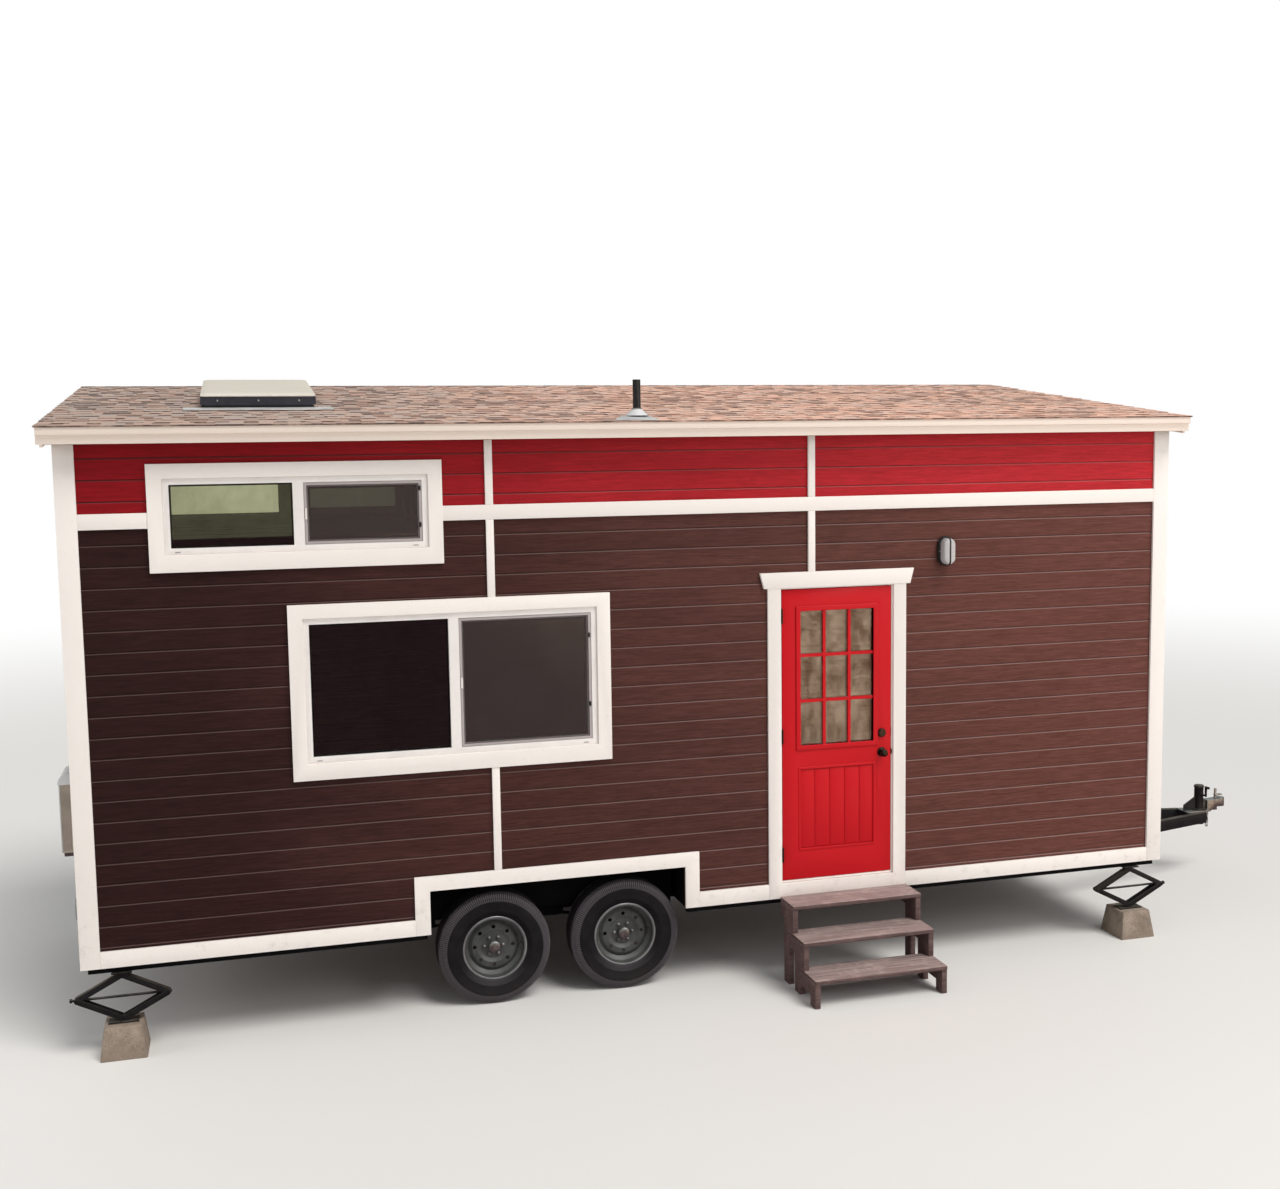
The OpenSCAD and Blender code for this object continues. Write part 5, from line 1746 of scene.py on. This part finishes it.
@dataclass
class Wheels:
    """Four trailer wheels: tires with ribbed treads, and rims with nuts and caps."""

    radius: float = 0.380
    groove: float = 0.0045
    groove_depth: float = 0.008
    groove_flare: float = 0.001
    groove_middles: tuple = (-0.034, 0.0, 0.034)
    tire_sides: int = 96
    lugs: int = 160
    lug_half: float = 0.0042
    lug_r: Span = (0.367, 0.3798)
    lug_z: Span = (0.0605, 0.0905)
    lug_slope: float = -0.005
    rib_r: Span = (0.347, 0.3665)
    rib_z: Span = (0.0930, 0.1040)
    rib_lean: tuple = (0.0015, 0, -0.0110)
    low_rib_r: Span = (0.325, 0.348)
    low_rib_z: Span = (0.1010, 0.1120)
    low_rib_lean: tuple = (0, 0, -0.0075)
    half_section: tuple = (
        (0.380, 0.058), (0.371, 0.060), (0.369, 0.088), (0.352, 0.1010), (0.338, 0.1062), (0.3355, 0.1085),
        (0.3315, 0.1085), (0.3290, 0.1100), (0.300, 0.1125), (0.262, 0.1085), (0.2575, 0.1092),
        (0.2535, 0.1082), (0.250, 0.1060), (0.226, 0.0945), (0.219, 0.0885), (0.2190, 0.0815),
        (0.2045, 0.0810), (0.2045, 0.054), (0.248, 0.0855), (0.298, 0.0968), (0.334, 0.0855), (0.356, 0.054),
    )
    nuts: int = 6
    nut_ring: float = 0.063
    nut_face: float = 0.026
    nut_ease: float = 0.0008
    nut: tuple = (
        (0.0125, 0), (0.0125, 0.010), (0.0105, 0.014), (0.0062, 0.0145), (0.0060, 0.019), (0.0045, 0.020)
    )
    cap: tuple = (
        (0.0385, 0.056), (0.0390, 0.060), (0.0360, 0.068), (0.0290, 0.0715), (0.0120, 0.0722),
        (0.004, 0.0722),
    )
    valve: tuple = ((0.0055, 0), (0.0050, 0.016), (0.0040, 0.018), (0.0040, 0.030), (0.0020, 0.031))
    valve_place: tuple = (0.168, 0.0, 0.020)
    valve_turn: tuple = (0, 0.5, 0.3)
    lip: tuple = (
        (0.2170, 0.0865), (0.2172, 0.0880), (0.2150, 0.0898), (0.2080, 0.0900), (0.2052, 0.0884),
        (0.2045, 0.0865), (0.2170, 0.0865),
    )

    def section(self) -> list[Span]:
        """Draws the tire's section.

        Returns:
            Its (radius, height) points, closed.
        """
        deep, flare = self.radius - self.groove_depth, self.groove_flare
        crown = []
        for middle in self.groove_middles:
            low, high = middle - self.groove, middle + self.groove
            crown += [(self.radius, low), (deep, low + flare), (deep, high - flare), (self.radius, high)]
        ring = [*crown, *self.half_section, *((r, -z) for r, z in reversed(self.half_section))]
        return ring + ring[:1]

    def lug(self) -> Piece:
        """Models one shoulder lug with the two ribs that run from it down the sidewall.

        Returns:
            The lug.
        """
        half, pieces = (-self.lug_half, self.lug_half), []
        for rs, zs, upper, move in (
            (self.lug_r, self.lug_z, True, (self.lug_slope, 0, 0)),
            (self.rib_r, self.rib_z, False, self.rib_lean),
            (self.low_rib_r, self.low_rib_z, False, self.low_rib_lean),
        ):
            piece = block("lug", *zip(rs, half, zs))
            foot = zs[0] + HAIR if upper else -math.inf
            pieces.append(nudged(piece, lambda p, n: p.x > rs[1] - HAIR and p.z > foot, move))
        return joined("lug", pieces)

    def tread_lugs(self) -> Piece:
        """Sets a row of lugs round each shoulder.

        Returns:
            Both rows as one piece.
        """
        lug = self.lug()
        flipped = Matrix.Rotation(math.pi / self.lugs, 4, "Z") @ Matrix.Rotation(math.pi, 4, "X")
        rows = [around(copied(lug, "lug_row", turn), self.lugs) for turn in (Matrix.Identity(4), flipped)]
        bpy.data.objects.remove(lug)
        return joined("tread_lugs", rows)

    def build(self) -> None:
        """Models the tire and the rim's parts once and copies them to each wheel."""
        nut = eased(turned("nut", self.nut, 6), self.nut_ease)
        valve = placed(turned("valve", self.valve, 16), self.valve_place, self.valve_turn)
        tire = turned("tire", self.section(), self.tire_sides, closed=True)
        parts = {
            "tread_tire": (tire, TIRE, "rubber"),
            "tread_lugs": (self.tread_lugs(), TREAD, "rubber"),
            "nuts": (around(placed(nut, (self.nut_ring, 0, self.nut_face)), self.nuts), ZINC, "zinc"),
            "hub_cap": (joined("cap", [turned("cap", self.cap, 40), valve]), ZINC, "zinc"),
            "rim_lip": (turned("lip", self.lip, 64, closed=True), RIM_EDGE, "grey_rim"),
        }
        for wheel in ("front_near", "rear_near", "front_far", "rear_far"):
            low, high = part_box(f"{wheel}_tire")
            turn = QUARTER if wheel.endswith("near") else -QUARTER
            move = Matrix.Translation((low + high) / 2) @ Matrix.Rotation(turn, 4, "X")
            for part, (piece, finish, slot) in parts.items():
                replaced = [f"{wheel}_tire"] if piece is tire else []
                fit(copied(piece, f"{wheel}_{part}", move), finish, f"{wheel}_wheel", replaced)
            dress(RIM_GREY, f"{wheel}_rim")
        for piece, _, _ in parts.values():
            bpy.data.objects.remove(piece)


@dataclass
class Skylight:
    """The curb skylight: a dark frame, a wide pale apron in front and a dusty acrylic cap."""

    plot: Plot
    edge: float = 0.006
    crown: float = 0.0117
    steps: tuple = ((0.985, 0.06), (0.955, 0.45), (0.910, 0.80), (0.850, 0.96), (0.50, 1.0))
    corner: float = 0.020
    skirt: float = 0.056
    screws: int = 3
    screw_in: float = 0.110
    screw: tuple = ((0.006, 0), (0.006, 0.0015), (0.004, 0.0030), (0.001, 0.0032))
    apron: float = 0.189
    apron_in: tuple = (0.0005, 0.001)
    apron_z: Span = (0.003, 0.0042)
    apron_ease: Span = (0.0005, 1)
    fold_y: Span = (-0.0004, 0.0064)
    fold_z: Span = (0.0015, 0.0086)
    fold_ease: Span = (0.0012, 2)

    def build(self) -> None:
        """Models the cap, the screws and the apron level and turns them to the roof's slope."""
        dress(DARK_METAL, "skylight_curb")
        level = Matrix.Rotation(-self.plot.pitch, 4, "X")
        low, high = self.flat("skylight_lid", level)
        cap = block("skylight_cap", low, (high.x, high.y, low.z + self.edge))
        chamfer(cap, lambda m, d: abs(d.z) > 0.9, self.corner, 4)
        self.raise_crown(cap)
        place = (low.x + self.screw_in, low.y, low.z - self.skirt * 0.5)
        head = placed(turned("screw", self.screw, 16), place, (QUARTER, 0, 0))
        step = (high.x - low.x - 2 * self.screw_in) / (self.screws - 1)
        heads = repeated(head, self.screws, (step, 0, 0))
        for piece, finish, slot, replaced in (
            (cap, ACRYLIC, "white_acrylic", ["skylight_lid"]),
            (heads, ZINC, "zinc", []),
            (self.flashing(*self.flat("skylight_curb", level)), FLASHING, "zinc", []),
        ):
            piece.data.transform(level.inverted())
            fit(piece, finish, stands_for=replaced)

    def flashing(self, low: Vector, high: Vector) -> Piece:
        """Models the apron in front of the curb, with its folded hem.

        Args:
            low: The level curb's lowest corner.
            high: Its highest corner.

        Returns:
            The flashing.
        """
        side, front = self.apron_in
        apron = block(
            "apron", (low.x + side, low.y + front, low.z + self.apron_z[0]),
            (high.x - side, low.y + self.apron, low.z + self.apron_z[1]),
        )
        fold = block(
            "fold", (low.x, low.y + self.fold_y[0], low.z + self.fold_z[0]),
            (high.x, low.y + self.fold_y[1], low.z + self.fold_z[1]),
        )
        return joined("skylight_flashing", [eased(apron, *self.apron_ease), eased(fold, *self.fold_ease)])

    def raise_crown(self, cap: Piece) -> None:
        """Extrudes the cap's top face upwards in steps that draw in towards its middle.

        Args:
            cap: The cap, level.
        """
        pick(cap, lambda m, n: n.z > 0.9)
        points = [v.co for v in cap.data.vertices]
        middle = sum(points, Vector()) / len(points)
        share, rise = 1.0, 0.0
        for next_share, next_rise in self.steps:
            lift = (next_rise - rise) * self.crown
            bpy.ops.mesh.extrude_region_move(TRANSFORM_OT_translate={"value": (0, 0, lift)})
            factor = next_share / share
            bpy.ops.transform.resize(value=(factor, factor, 1), center_override=middle)
            share, rise = next_share, next_rise
        done()

    def flat(self, node: str, level: Matrix) -> tuple[Vector, Vector]:
        """Gives a node's two corners when its slope is turned level.

        Args:
            node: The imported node.
            level: The turn that levels the roof.

        Returns:
            The lowest and highest corners.
        """
        points = [level @ v.co for v in frame["nodes"][node].data.vertices]
        return Vector(map(min, *points)), Vector(map(max, *points))


@dataclass
class Vent:
    """The plumbing vent: a black pipe in a wide boot on a pale flange that the shingles lap."""

    plot: Plot
    setback: float = 0.100
    radius: float = 0.026
    wall: float = 0.004
    height: float = 0.241
    boot: float = 0.075
    rise: float = 0.052
    rim: float = 0.003
    clamp_drop: float = 0.010
    left_reach: float = 0.225
    right_reach: float = 0.085
    low_reach: float = 0.265
    high_reach: float = 0.030
    flange: float = 0.003
    flange_round: float = 0.008
    flange_ease: float = 0.0008
    corner: float = 0.095
    sides: tuple = (40, 48)

    def build(self) -> None:
        """Turns the pipe, its clamp, its boot and a dark ring of painted shade round the boot's foot, and
        lays the flange on the slope.
        """
        low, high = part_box("vent_pipe")
        foot = Vector((low.x + self.left_reach, self.plot.front + self.setback, high.z - self.height))
        r, bore, boot, top = self.radius, self.radius - self.wall, self.boot, self.height
        tube = [(r, -0.01), (r, top - 0.002), (r - 0.001, top), (bore, top), (bore, 0.02), (0.004, 0.02)]
        fine, broad = self.sides
        fit(placed(turned("vent_tube", tube, fine), foot), BLACK_PLASTIC)
        dip = boot * self.plot.slope
        cone = [
            (boot, -dip), (boot, 0.004), (boot - 0.004, 0.010), (boot * 0.80, 0.020),
            (boot * 0.55, self.rise - 0.014), (r + 0.010, self.rise - 0.008), (r + 0.006, self.rise - 0.001),
            (r + 0.0008, self.rise),
        ]
        # Painted shade: a thin dark ring just outside the boot's foot stands for the shadow gap under its
        # edge.
        edge = boot + self.rim
        rim = [(edge, -dip), (edge, 0.001), (boot, 0.004), (boot - 0.010, 0.004)]
        for name, outline, finish, slot in (
            ("vent_boot", cone, BOOT_GREY, "grey_plastic"), ("vent_shade_ring", rim, DARK_METAL, "dark_metal")
        ):
            piece = placed(turned(name, outline, broad), foot)
            trimmed(piece, foot + Vector((0, 0, 0.001)), (0, self.plot.slope, -1))
            fit(piece, finish)
        clamp = [(r + 0.0082, 0), (r + 0.0090, 0.001), (r + 0.0090, 0.007), (r + 0.0070, 0.008)]
        collar = foot + Vector((0, 0, self.rise - self.clamp_drop))
        fit(placed(turned("vent_clamp", clamp, fine), collar), BLACK_PLASTIC)
        corners = (-self.left_reach, -self.low_reach, 0), (self.right_reach, self.high_reach, self.flange)
        flange = block("vent_flange", *corners)
        nudged(flange, lambda p, n: p.x < 0 < p.y, (self.left_reach - self.corner, 0, 0))
        chamfer(flange, lambda m, d: abs(d.z) > 0.9 and m.y < 0, self.flange_round, 3)
        placed(eased(flange, self.flange_ease), foot, (self.plot.pitch, 0, 0))
        fit(flange, FLASHING, stands_for=["vent_pipe"])


@dataclass
class Lamp:
    """The bulkhead lamp: a black base, an opal glass with rounded ends and a guard bar down its middle."""

    sides: int = 40
    base_depth: float = 0.030
    base_steps: tuple = ((1, 0), (1, 0.8), (0.97, 0.95), (0.93, 1), (0.1, 1))
    glass: Span = (0.094, 0.186)
    glass_steps: tuple = (
        (1, 0.30), (1, 0.70), (0.96, 0.82), (0.86, 0.91), (0.66, 0.965), (0.35, 0.985), (0.1, 0.985)
    )
    bar: float = 0.013
    bar_over: float = 0.004
    bar_round: float = 0.34
    bar_ease: float = 0.0012
    screw_out: float = 0.44
    screw: tuple = ((0.0045, 0), (0.0045, 0.002), (0.0030, 0.003), (0.001, 0.003))

    def oval(self, name: str, width: float, height: float, depth: float, steps: Sequence[Span]) -> Piece:
        """Models an oval solid that faces the front.

        Args:
            name: The piece's name.
            width: Its width.
            height: Its height.
            depth: How far it stands out.
            steps: The (share of the size, share of the depth) at each ring.

        Returns:
            The solid at the origin, with its back on Y 0.
        """
        outline = [(width / 2 * share, depth * out) for share, out in steps]
        piece = placed(turned(name, outline, self.sides), (0, 0, 0), (QUARTER, 0, 0))
        for sign in (1, -1):
            nudged(piece, lambda p, n: p.z * sign > WELD, (0, 0, sign * (height - width) / 2))
        return piece

    def build(self) -> None:
        """Models the base, the glass and the guard."""
        low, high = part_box("wall_lamp")
        middle = Vector(((low.x + high.x) / 2, high.y, (low.z + high.z) / 2))
        width, depth, height = high - low
        base = self.oval("lamp_base", width, height, self.base_depth, self.base_steps)
        fit(placed(base, middle), BLACK_PLASTIC, stands_for=["wall_lamp"])
        glass = self.oval("lamp_glass", *self.glass, depth, self.glass_steps)
        fit(placed(glass, middle), OPAL)
        half, reach = self.bar / 2, self.glass[1] / 2 + self.bar_over
        bar = block("lamp_guard", (-half, -depth, -reach), (half, -self.base_depth * 0.9, reach))
        chamfer(bar, lambda m, d: m.y < -depth * 0.9 and abs(d.x) > 0.9, depth * self.bar_round, 5)
        fit(placed(eased(bar, self.bar_ease), middle), BLACK_PLASTIC)
        places = [middle + Vector((side * width * self.screw_out, -self.base_depth, 0)) for side in (-1, 1)]
        screws = [placed(turned("screw", self.screw, 14), place, (QUARTER, 0, 0)) for place in places]
        fit(joined("lamp_screws", screws), ZINC)


@dataclass
class HeatUnit:
    """The slim heater on the left end wall: a finned body, a louvered front, a rounded cover and brackets."""

    foot: float = 0.040
    depth: float = 0.225
    lid: float = 0.078
    lid_over: float = 0.006
    lid_round: float = 0.07332
    lid_ends: float = 0.018
    plate: float = 0.009
    ease: float = 0.0015
    cover_ease: float = 0.002
    core_in: float = 0.004
    fin: float = 0.003
    fin_depth: float = 0.005
    fin_step: float = 0.012
    low_fins: tuple = (0.006, 0.004, 0.012, 0.040)
    top_fins: tuple = (0.004, 0.002, 0.034, 0.002)
    top_step: float = 0.018
    louvers: int = 7
    louver_in: float = 0.040
    louver_up: float = 0.120
    louver_tall: float = 0.010
    dark_y: float = 0.030
    dark_z: Span = (0.080, 0.060)
    bracket: Span = (0.060, 0.100)
    bracket_wide: float = 0.040
    bracket_plate: Span = (0.006, 0.300)

    def ribs(self, xs: Span, ys: Span, zs: Span, step: float) -> Piece:
        """Models a row of upright fins that starts in a box and fills its width along X.

        Args:
            xs: The box's left and right.
            ys: Its front and back.
            zs: Its foot and top.
            step: From one fin to the next.

        Returns:
            The row.
        """
        rib = block("fin", *zip((xs[0], xs[0] + self.fin), ys, zs))
        return repeated(rib, int((xs[1] - xs[0]) / step), (step, 0, 0))

    def build(self) -> None:
        """Models the body, its fins, the louvered front, a black sheet of painted shade behind the louvers,
        the cover and the brackets.
        """
        low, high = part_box("heat_unit")
        left, near, far = low.x + self.lid_over, low.y + self.lid_over, high.y - self.lid_over
        right, foot, top = low.x + self.depth, low.z + self.foot, high.z - self.lid
        face = left + self.plate
        core = block("heater_core", (face, near + self.core_in, foot), (right, far - self.core_in, top))
        fit(eased(core, self.ease), FIN_TAN, stands_for=["heat_unit"])
        fins = []
        for ys in ((near, near + self.fin_depth), (far - self.fin_depth, far)):
            start, end, up, down = self.low_fins
            fins.append(self.ribs((face + start, right - end), ys, (foot + up, top - down), self.fin_step))
            start, end, under, down = self.top_fins
            fins.append(self.ribs((face + start, right - end), ys, (top - under, top - down), self.top_step))
        fit(joined("heater_fins", fins), FIN_TAN)
        front = self.front(left, (near, far), (foot, top))
        fit(eased(front, self.ease), POWDER_WHITE)
        # Painted shade: a thin black sheet behind the louvers stands for the dark inside the body.
        edge, (up, down) = self.dark_y, self.dark_z
        spans = (face - 0.001, face + 0.001), (near + edge, far - edge), (foot + up, top - down)
        fit(block("heater_shade_sheet", *zip(*spans)), BLACK_PLASTIC)
        cover = block("heater_cover", (low.x, low.y, top), (right, high.y, high.z))
        chamfer(cover, lambda m, d: m.z > high.z - HAIR and m.x < low.x + HAIR, self.lid_round, 8)
        chamfer(cover, lambda m, d: m.z > high.z - HAIR and abs(d.x) > 0.9, self.lid_ends, 3)
        fit(eased(cover, self.cover_ease), POWDER_WHITE)
        self.brackets(left, low, high)

    def front(self, left: float, ys: Span, zs: Span) -> Piece:
        """Models the front plate and cuts its louvers.

        Args:
            left: Where its face is.
            ys: Its two sides.
            zs: Its foot and top.

        Returns:
            The plate.
        """
        plate = block("heater_front", *zip((left, left + self.plate), ys, zs))
        pitch = (zs[1] - zs[0]) / 2 / self.louvers
        slots = []
        for i in range(self.louvers):
            z = zs[0] + self.louver_up + i * pitch
            spans = (left - 0.01, left + 0.02), (ys[0] + self.louver_in, ys[1] - self.louver_in)
            slots.append(block("cutter", *zip(*spans, (z, z + self.louver_tall))))
        return cut(plate, slots)

    def brackets(self, left: float, low: Vector, high: Vector) -> None:
        """Carries the heater on two brackets from the wall.

        Args:
            left: Where the heater's front is.
            low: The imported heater's lowest corner.
            high: Its highest corner.
        """
        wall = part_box("lower_siding")[0].x
        thick, tall = self.bracket_plate
        pieces = []
        for y in (low.y + self.bracket[0], high.y - self.bracket[1]):
            side = y + self.bracket_wide
            pieces.append(block("arm", (left + 0.01, y, low.z), (wall, side, low.z + self.foot)))
            pieces.append(block("plate", (wall - thick, y, low.z), (wall, side, low.z + tall)))
        pieces = [eased(piece, self.cover_ease) for piece in pieces]
        fit(joined("heater_brackets", pieces), ZINC)


@dataclass
class Inlet:
    """The grey power inlet with its flip cover."""

    ease: Span = (0.008, 3)
    cover: tuple = ((-0.004, 0.014, 0.018), (0.004, -0.014, -0.040))
    cover_ease: Span = (0.0035, 3)

    def build(self) -> None:
        """Eases the box and adds its cover."""
        recast("inlet_box", "inlet_body", GREY_PLASTIC, self.ease)
        low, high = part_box("inlet_box")
        start, end = (Vector(margin) for margin in self.cover)
        cover = block("inlet_cover", low + start, Vector((low.x, high.y, high.z)) + end)
        fit(eased(cover, *self.cover_ease), GREY_PLASTIC)


@dataclass
class RunningGear:
    """The black trailer steel, its hitch and its supports."""

    ease: Span = (0.0015, 2)
    pier_ease: Span = (0.008, 3)

    def build(self) -> None:
        """Dresses the frame and the chain, and eases what shows."""
        dress(WELL_BLACK, "frame_rails", "crossmembers", "axles", "leaf_springs", "wheel_boxes")
        dress(ZINC, "safety_chain")
        for node in ("tongue_bars", "tongue_jack", "scissor_jacks"):
            recast(node, f"{node}_eased", BLACK_STEEL, self.ease)
        recast("hitch_coupler", "coupler_eased", ZINC, self.ease)
        recast("pier_blocks", "cast_piers", CONCRETE, self.pier_ease)


@dataclass
class Inside:
    """The bare inside: boarded walls, ceilings and a plank floor."""

    def build(self) -> None:
        """Gives the walls, the ceilings and the floor their linings."""
        dress(LINING, "front_wall_left", "front_wall_right", "front_wall_header", "back_wall", "end_walls")
        dress(CEILING, "roof_deck", "loft_floor")
        dress(FLOORING, "floor")


@dataclass
class Studio:
    """The pale floor, the soft light and the camera at the photograph's angle."""

    plot: Plot
    floor_reach: float = 60.0
    floor_color: tuple = (0.80, 0.79, 0.77)
    fade: Span = (9.0, 26.0)
    # Colours of the painted reflection that the floor shows to glossy rays: bark, leaves and dark shade.
    reflected_bark: tuple = (0.55, 0.29, 0.17)
    reflected_leaves: tuple = (1.60, 1.12, 0.80)
    shade: tuple = (0.060, 0.030, 0.034)
    streaks: Span = (70.0, 0.30)
    streak_noise: Span = (0.34, 0.66)
    lit_x: Span = (0.8, 4.6)
    lit_ahead: Span = (2.0, 5.0)
    sky: float = 0.42
    sky_color: tuple = (0.97, 0.985, 1.0)
    sky_ramp: tuple = (
        (0.0, (0.50, 0.46, 0.29, 1)), (0.30, (0.12, 0.14, 0.10, 1)), (0.75, (0.80, 0.86, 0.92, 1))
    )
    sun: float = 1.9
    sun_spot: tuple = (6, -8, 12)
    sun_width: float = 28.0
    sun_color: tuple = (1.0, 0.975, 0.94)
    sun_turn: tuple = (32, 6, 24)
    key: tuple = ((9.5, -7.5, 5.5), (3.2, 0, 2.0), 5.0, 200.0, (1.0, 0.985, 0.96))
    fill: tuple = ((-6.5, -0.6, 3.6), (0, 1.0, 1.2), 4.0, 110.0, (1.0, 1.0, 1.0))
    camera_spot: tuple = (1.043, -9.114, 3.675)
    yaw: float = -15.51
    pitch: float = -5.72
    roll: float = -0.84
    lens: float = 40.25
    sensor: float = 36.0
    view_end: float = 200.0

    def floor(self) -> None:
        """Lays a pale floor that fades to white far out for the camera, and that glows for glossy rays with a
        painted reflection: streaks of bark and leaves to the right ahead, dark shade elsewhere.
        """
        only()
        bpy.ops.mesh.primitive_circle_add(vertices=96, radius=self.floor_reach, fill_type="NGON")
        ground = settle(bpy.context.object, "studio_floor")
        sk = Sketch("studio_floor")
        squares = [sk.calc("POWER", sk.axis(name), 2.0) for name in "XY"]
        far = sk.ramp(sk.calc("SQRT", sk.calc("ADD", *squares)), *self.fade)
        # Painted reflection: for glossy rays the floor glows with streaks of bark and leaves on the right
        # ahead and dark shade elsewhere, for glass and boards to mirror.
        painted_reflection = sk.mix(self.upright_pattern(sk), self.reflected_bark, self.reflected_leaves)
        ahead = sk.ramp(sk.calc("MULTIPLY", sk.axis("Y"), -1.0), *self.lit_ahead)
        near = sk.calc("MULTIPLY", sk.ramp(sk.axis("X"), *self.lit_x), ahead)
        glossy = sk.add("ShaderNodeLightPath", "Is Glossy Ray")
        white = sk.mix(glossy, (1.0, 1.0, 1.0), sk.mix(near, self.shade, painted_reflection))
        glow = sk.add("ShaderNodeEmission", Color=white, Strength=sk.calc("ADD", 1.0, glossy))
        sk.close(self.floor_color, 0.85)
        far = sk.calc("MULTIPLY", far, sk.add("ShaderNodeLightPath", "Is Camera Ray"))
        shown = sk.blend(sk.calc("MAXIMUM", far, glossy), sk.shader.outputs[0], glow)
        sk.put(sk.output.inputs["Surface"], shown)
        ground.data.materials.append(sk.material)

    def upright_pattern(self, sk: Sketch) -> Socket:
        """Streaks the floor away from the camera's mirror image, so that the door mirrors upright forms.

        Args:
            sk: The floor's material.

        Returns:
            The streaks, from 0 to 1.
        """
        eye = self.plot.at(self.camera_spot[0], -self.camera_spot[1], 0)
        run, rise = sk.calc("SUBTRACT", sk.axis("X"), eye.x), sk.calc("SUBTRACT", eye.y, sk.axis("Y"))
        turn, away = self.streaks
        fan = sk.add(
            "ShaderNodeCombineXYZ", X=sk.calc("MULTIPLY", sk.calc("ARCTAN2", run, rise), turn),
            Y=sk.calc("MULTIPLY", rise, away),
        )
        noise = sk.add("ShaderNodeTexNoise", Vector=fan, Scale=1.0, Detail=6.0, Roughness=0.75)
        return sk.ramp(noise, *self.streak_noise)

    def light(self) -> None:
        """Lights the object from a soft sky, one broad sun and two discs, on a white background."""
        world = bpy.data.worlds.new("studio")
        bpy.context.scene.world = world
        world.use_nodes = True
        wires = Wiring(world.node_tree)
        background, path = "ShaderNodeBackground", "ShaderNodeLightPath"
        seen = wires.add(background, Color=(1.0, 1.0, 1.0), Strength=1.0)
        lit = wires.add(background, Color=self.sky_color, Strength=self.sky)
        dim = wires.add(background, Color=self.horizon(wires))
        unseen = wires.blend(wires.add(path, "Is Glossy Ray"), lit, dim)
        shown = wires.blend(wires.add(path, "Is Camera Ray"), unseen, seen)
        output = wires.nodes.new("ShaderNodeOutputWorld")
        wires.put(output.inputs["Surface"], shown)
        only()
        bpy.ops.object.light_add(type="SUN", location=self.sun_spot)
        sun = bpy.context.object
        sun.data.energy, sun.data.color = self.sun, self.sun_color
        sun.data.angle = math.radians(self.sun_width)
        sun.rotation_euler = [math.radians(v) for v in self.sun_turn]
        for spot, goal, size, energy, color in (self.key, self.fill):
            spot, goal = self.plot.at(*spot), self.plot.at(*goal)
            bpy.ops.object.light_add(type="AREA", location=spot)
            disc = bpy.context.object
            disc.data.shape, disc.data.size = "DISK", size
            disc.data.energy, disc.data.color = energy, color
            disc.rotation_euler = (goal - spot).to_track_quat("-Z", "Y").to_euler()

    def horizon(self, wires: Wiring) -> Socket:
        """Gives glass and metal a dim wooded horizon under a pale sky to mirror.

        Args:
            wires: The world's nodes.

        Returns:
            The colour of the sky that they mirror.
        """
        up = wires.add("ShaderNodeSeparateXYZ", "Z", Vector=wires.add("ShaderNodeTexCoord", "Generated"))
        color = wires.add("ShaderNodeValToRGB", Fac=up)
        first, middle, last = self.sky_ramp
        ramp = color.node.color_ramp
        for element, (position, shade) in zip(ramp.elements, (first, last)):
            element.position, element.color = position, shade
        ramp.elements.new(middle[0]).color = middle[1]
        return color

    def camera(self) -> None:
        """Sets the camera where the photograph was taken from."""
        yaw, pitch, roll = (math.radians(v) for v in (self.yaw, self.pitch, self.roll))
        ahead = Vector((-math.sin(yaw) * math.cos(pitch), math.cos(yaw) * math.cos(pitch), math.sin(pitch)))
        level = Vector((math.cos(yaw), math.sin(yaw), 0))
        upright = level.cross(ahead)
        right = math.cos(roll) * level + math.sin(roll) * upright
        up = math.cos(roll) * upright - math.sin(roll) * level
        data = bpy.data.cameras.new("photo_camera")
        data.lens, data.sensor_width, data.sensor_fit = self.lens, self.sensor, "HORIZONTAL"
        data.clip_end = self.view_end
        camera = bpy.data.objects.new("photo_camera", data)
        bpy.context.scene.collection.objects.link(camera)
        turn = Matrix((right, up, -ahead)).transposed().to_4x4()
        camera.matrix_world = Matrix.Translation(self.plot.at(*self.camera_spot)) @ turn
        bpy.context.scene.camera = camera

    def build(self) -> None:
        """Sets the stage."""
        bpy.context.scene.view_settings.view_transform = "Standard"
        self.camera()
        self.light()
        self.floor()


def main() -> None:
    """Builds the studio and every part of the house in order."""
    logging.basicConfig(level=logging.INFO, format="%(message)s")
    plot = Plot.packed()
    for part in (
        Studio(plot), Inside(), Siding(plot), Roofing(plot), Trim(), Windows(plot), Door(), Steps(), Wheels(),
        Skylight(plot), Vent(plot), Lamp(), HeatUnit(), Inlet(), RunningGear(),
    ):
        part.build()
        LOG.info("built %s", type(part).__name__)


if __name__ == "__main__":
    main()
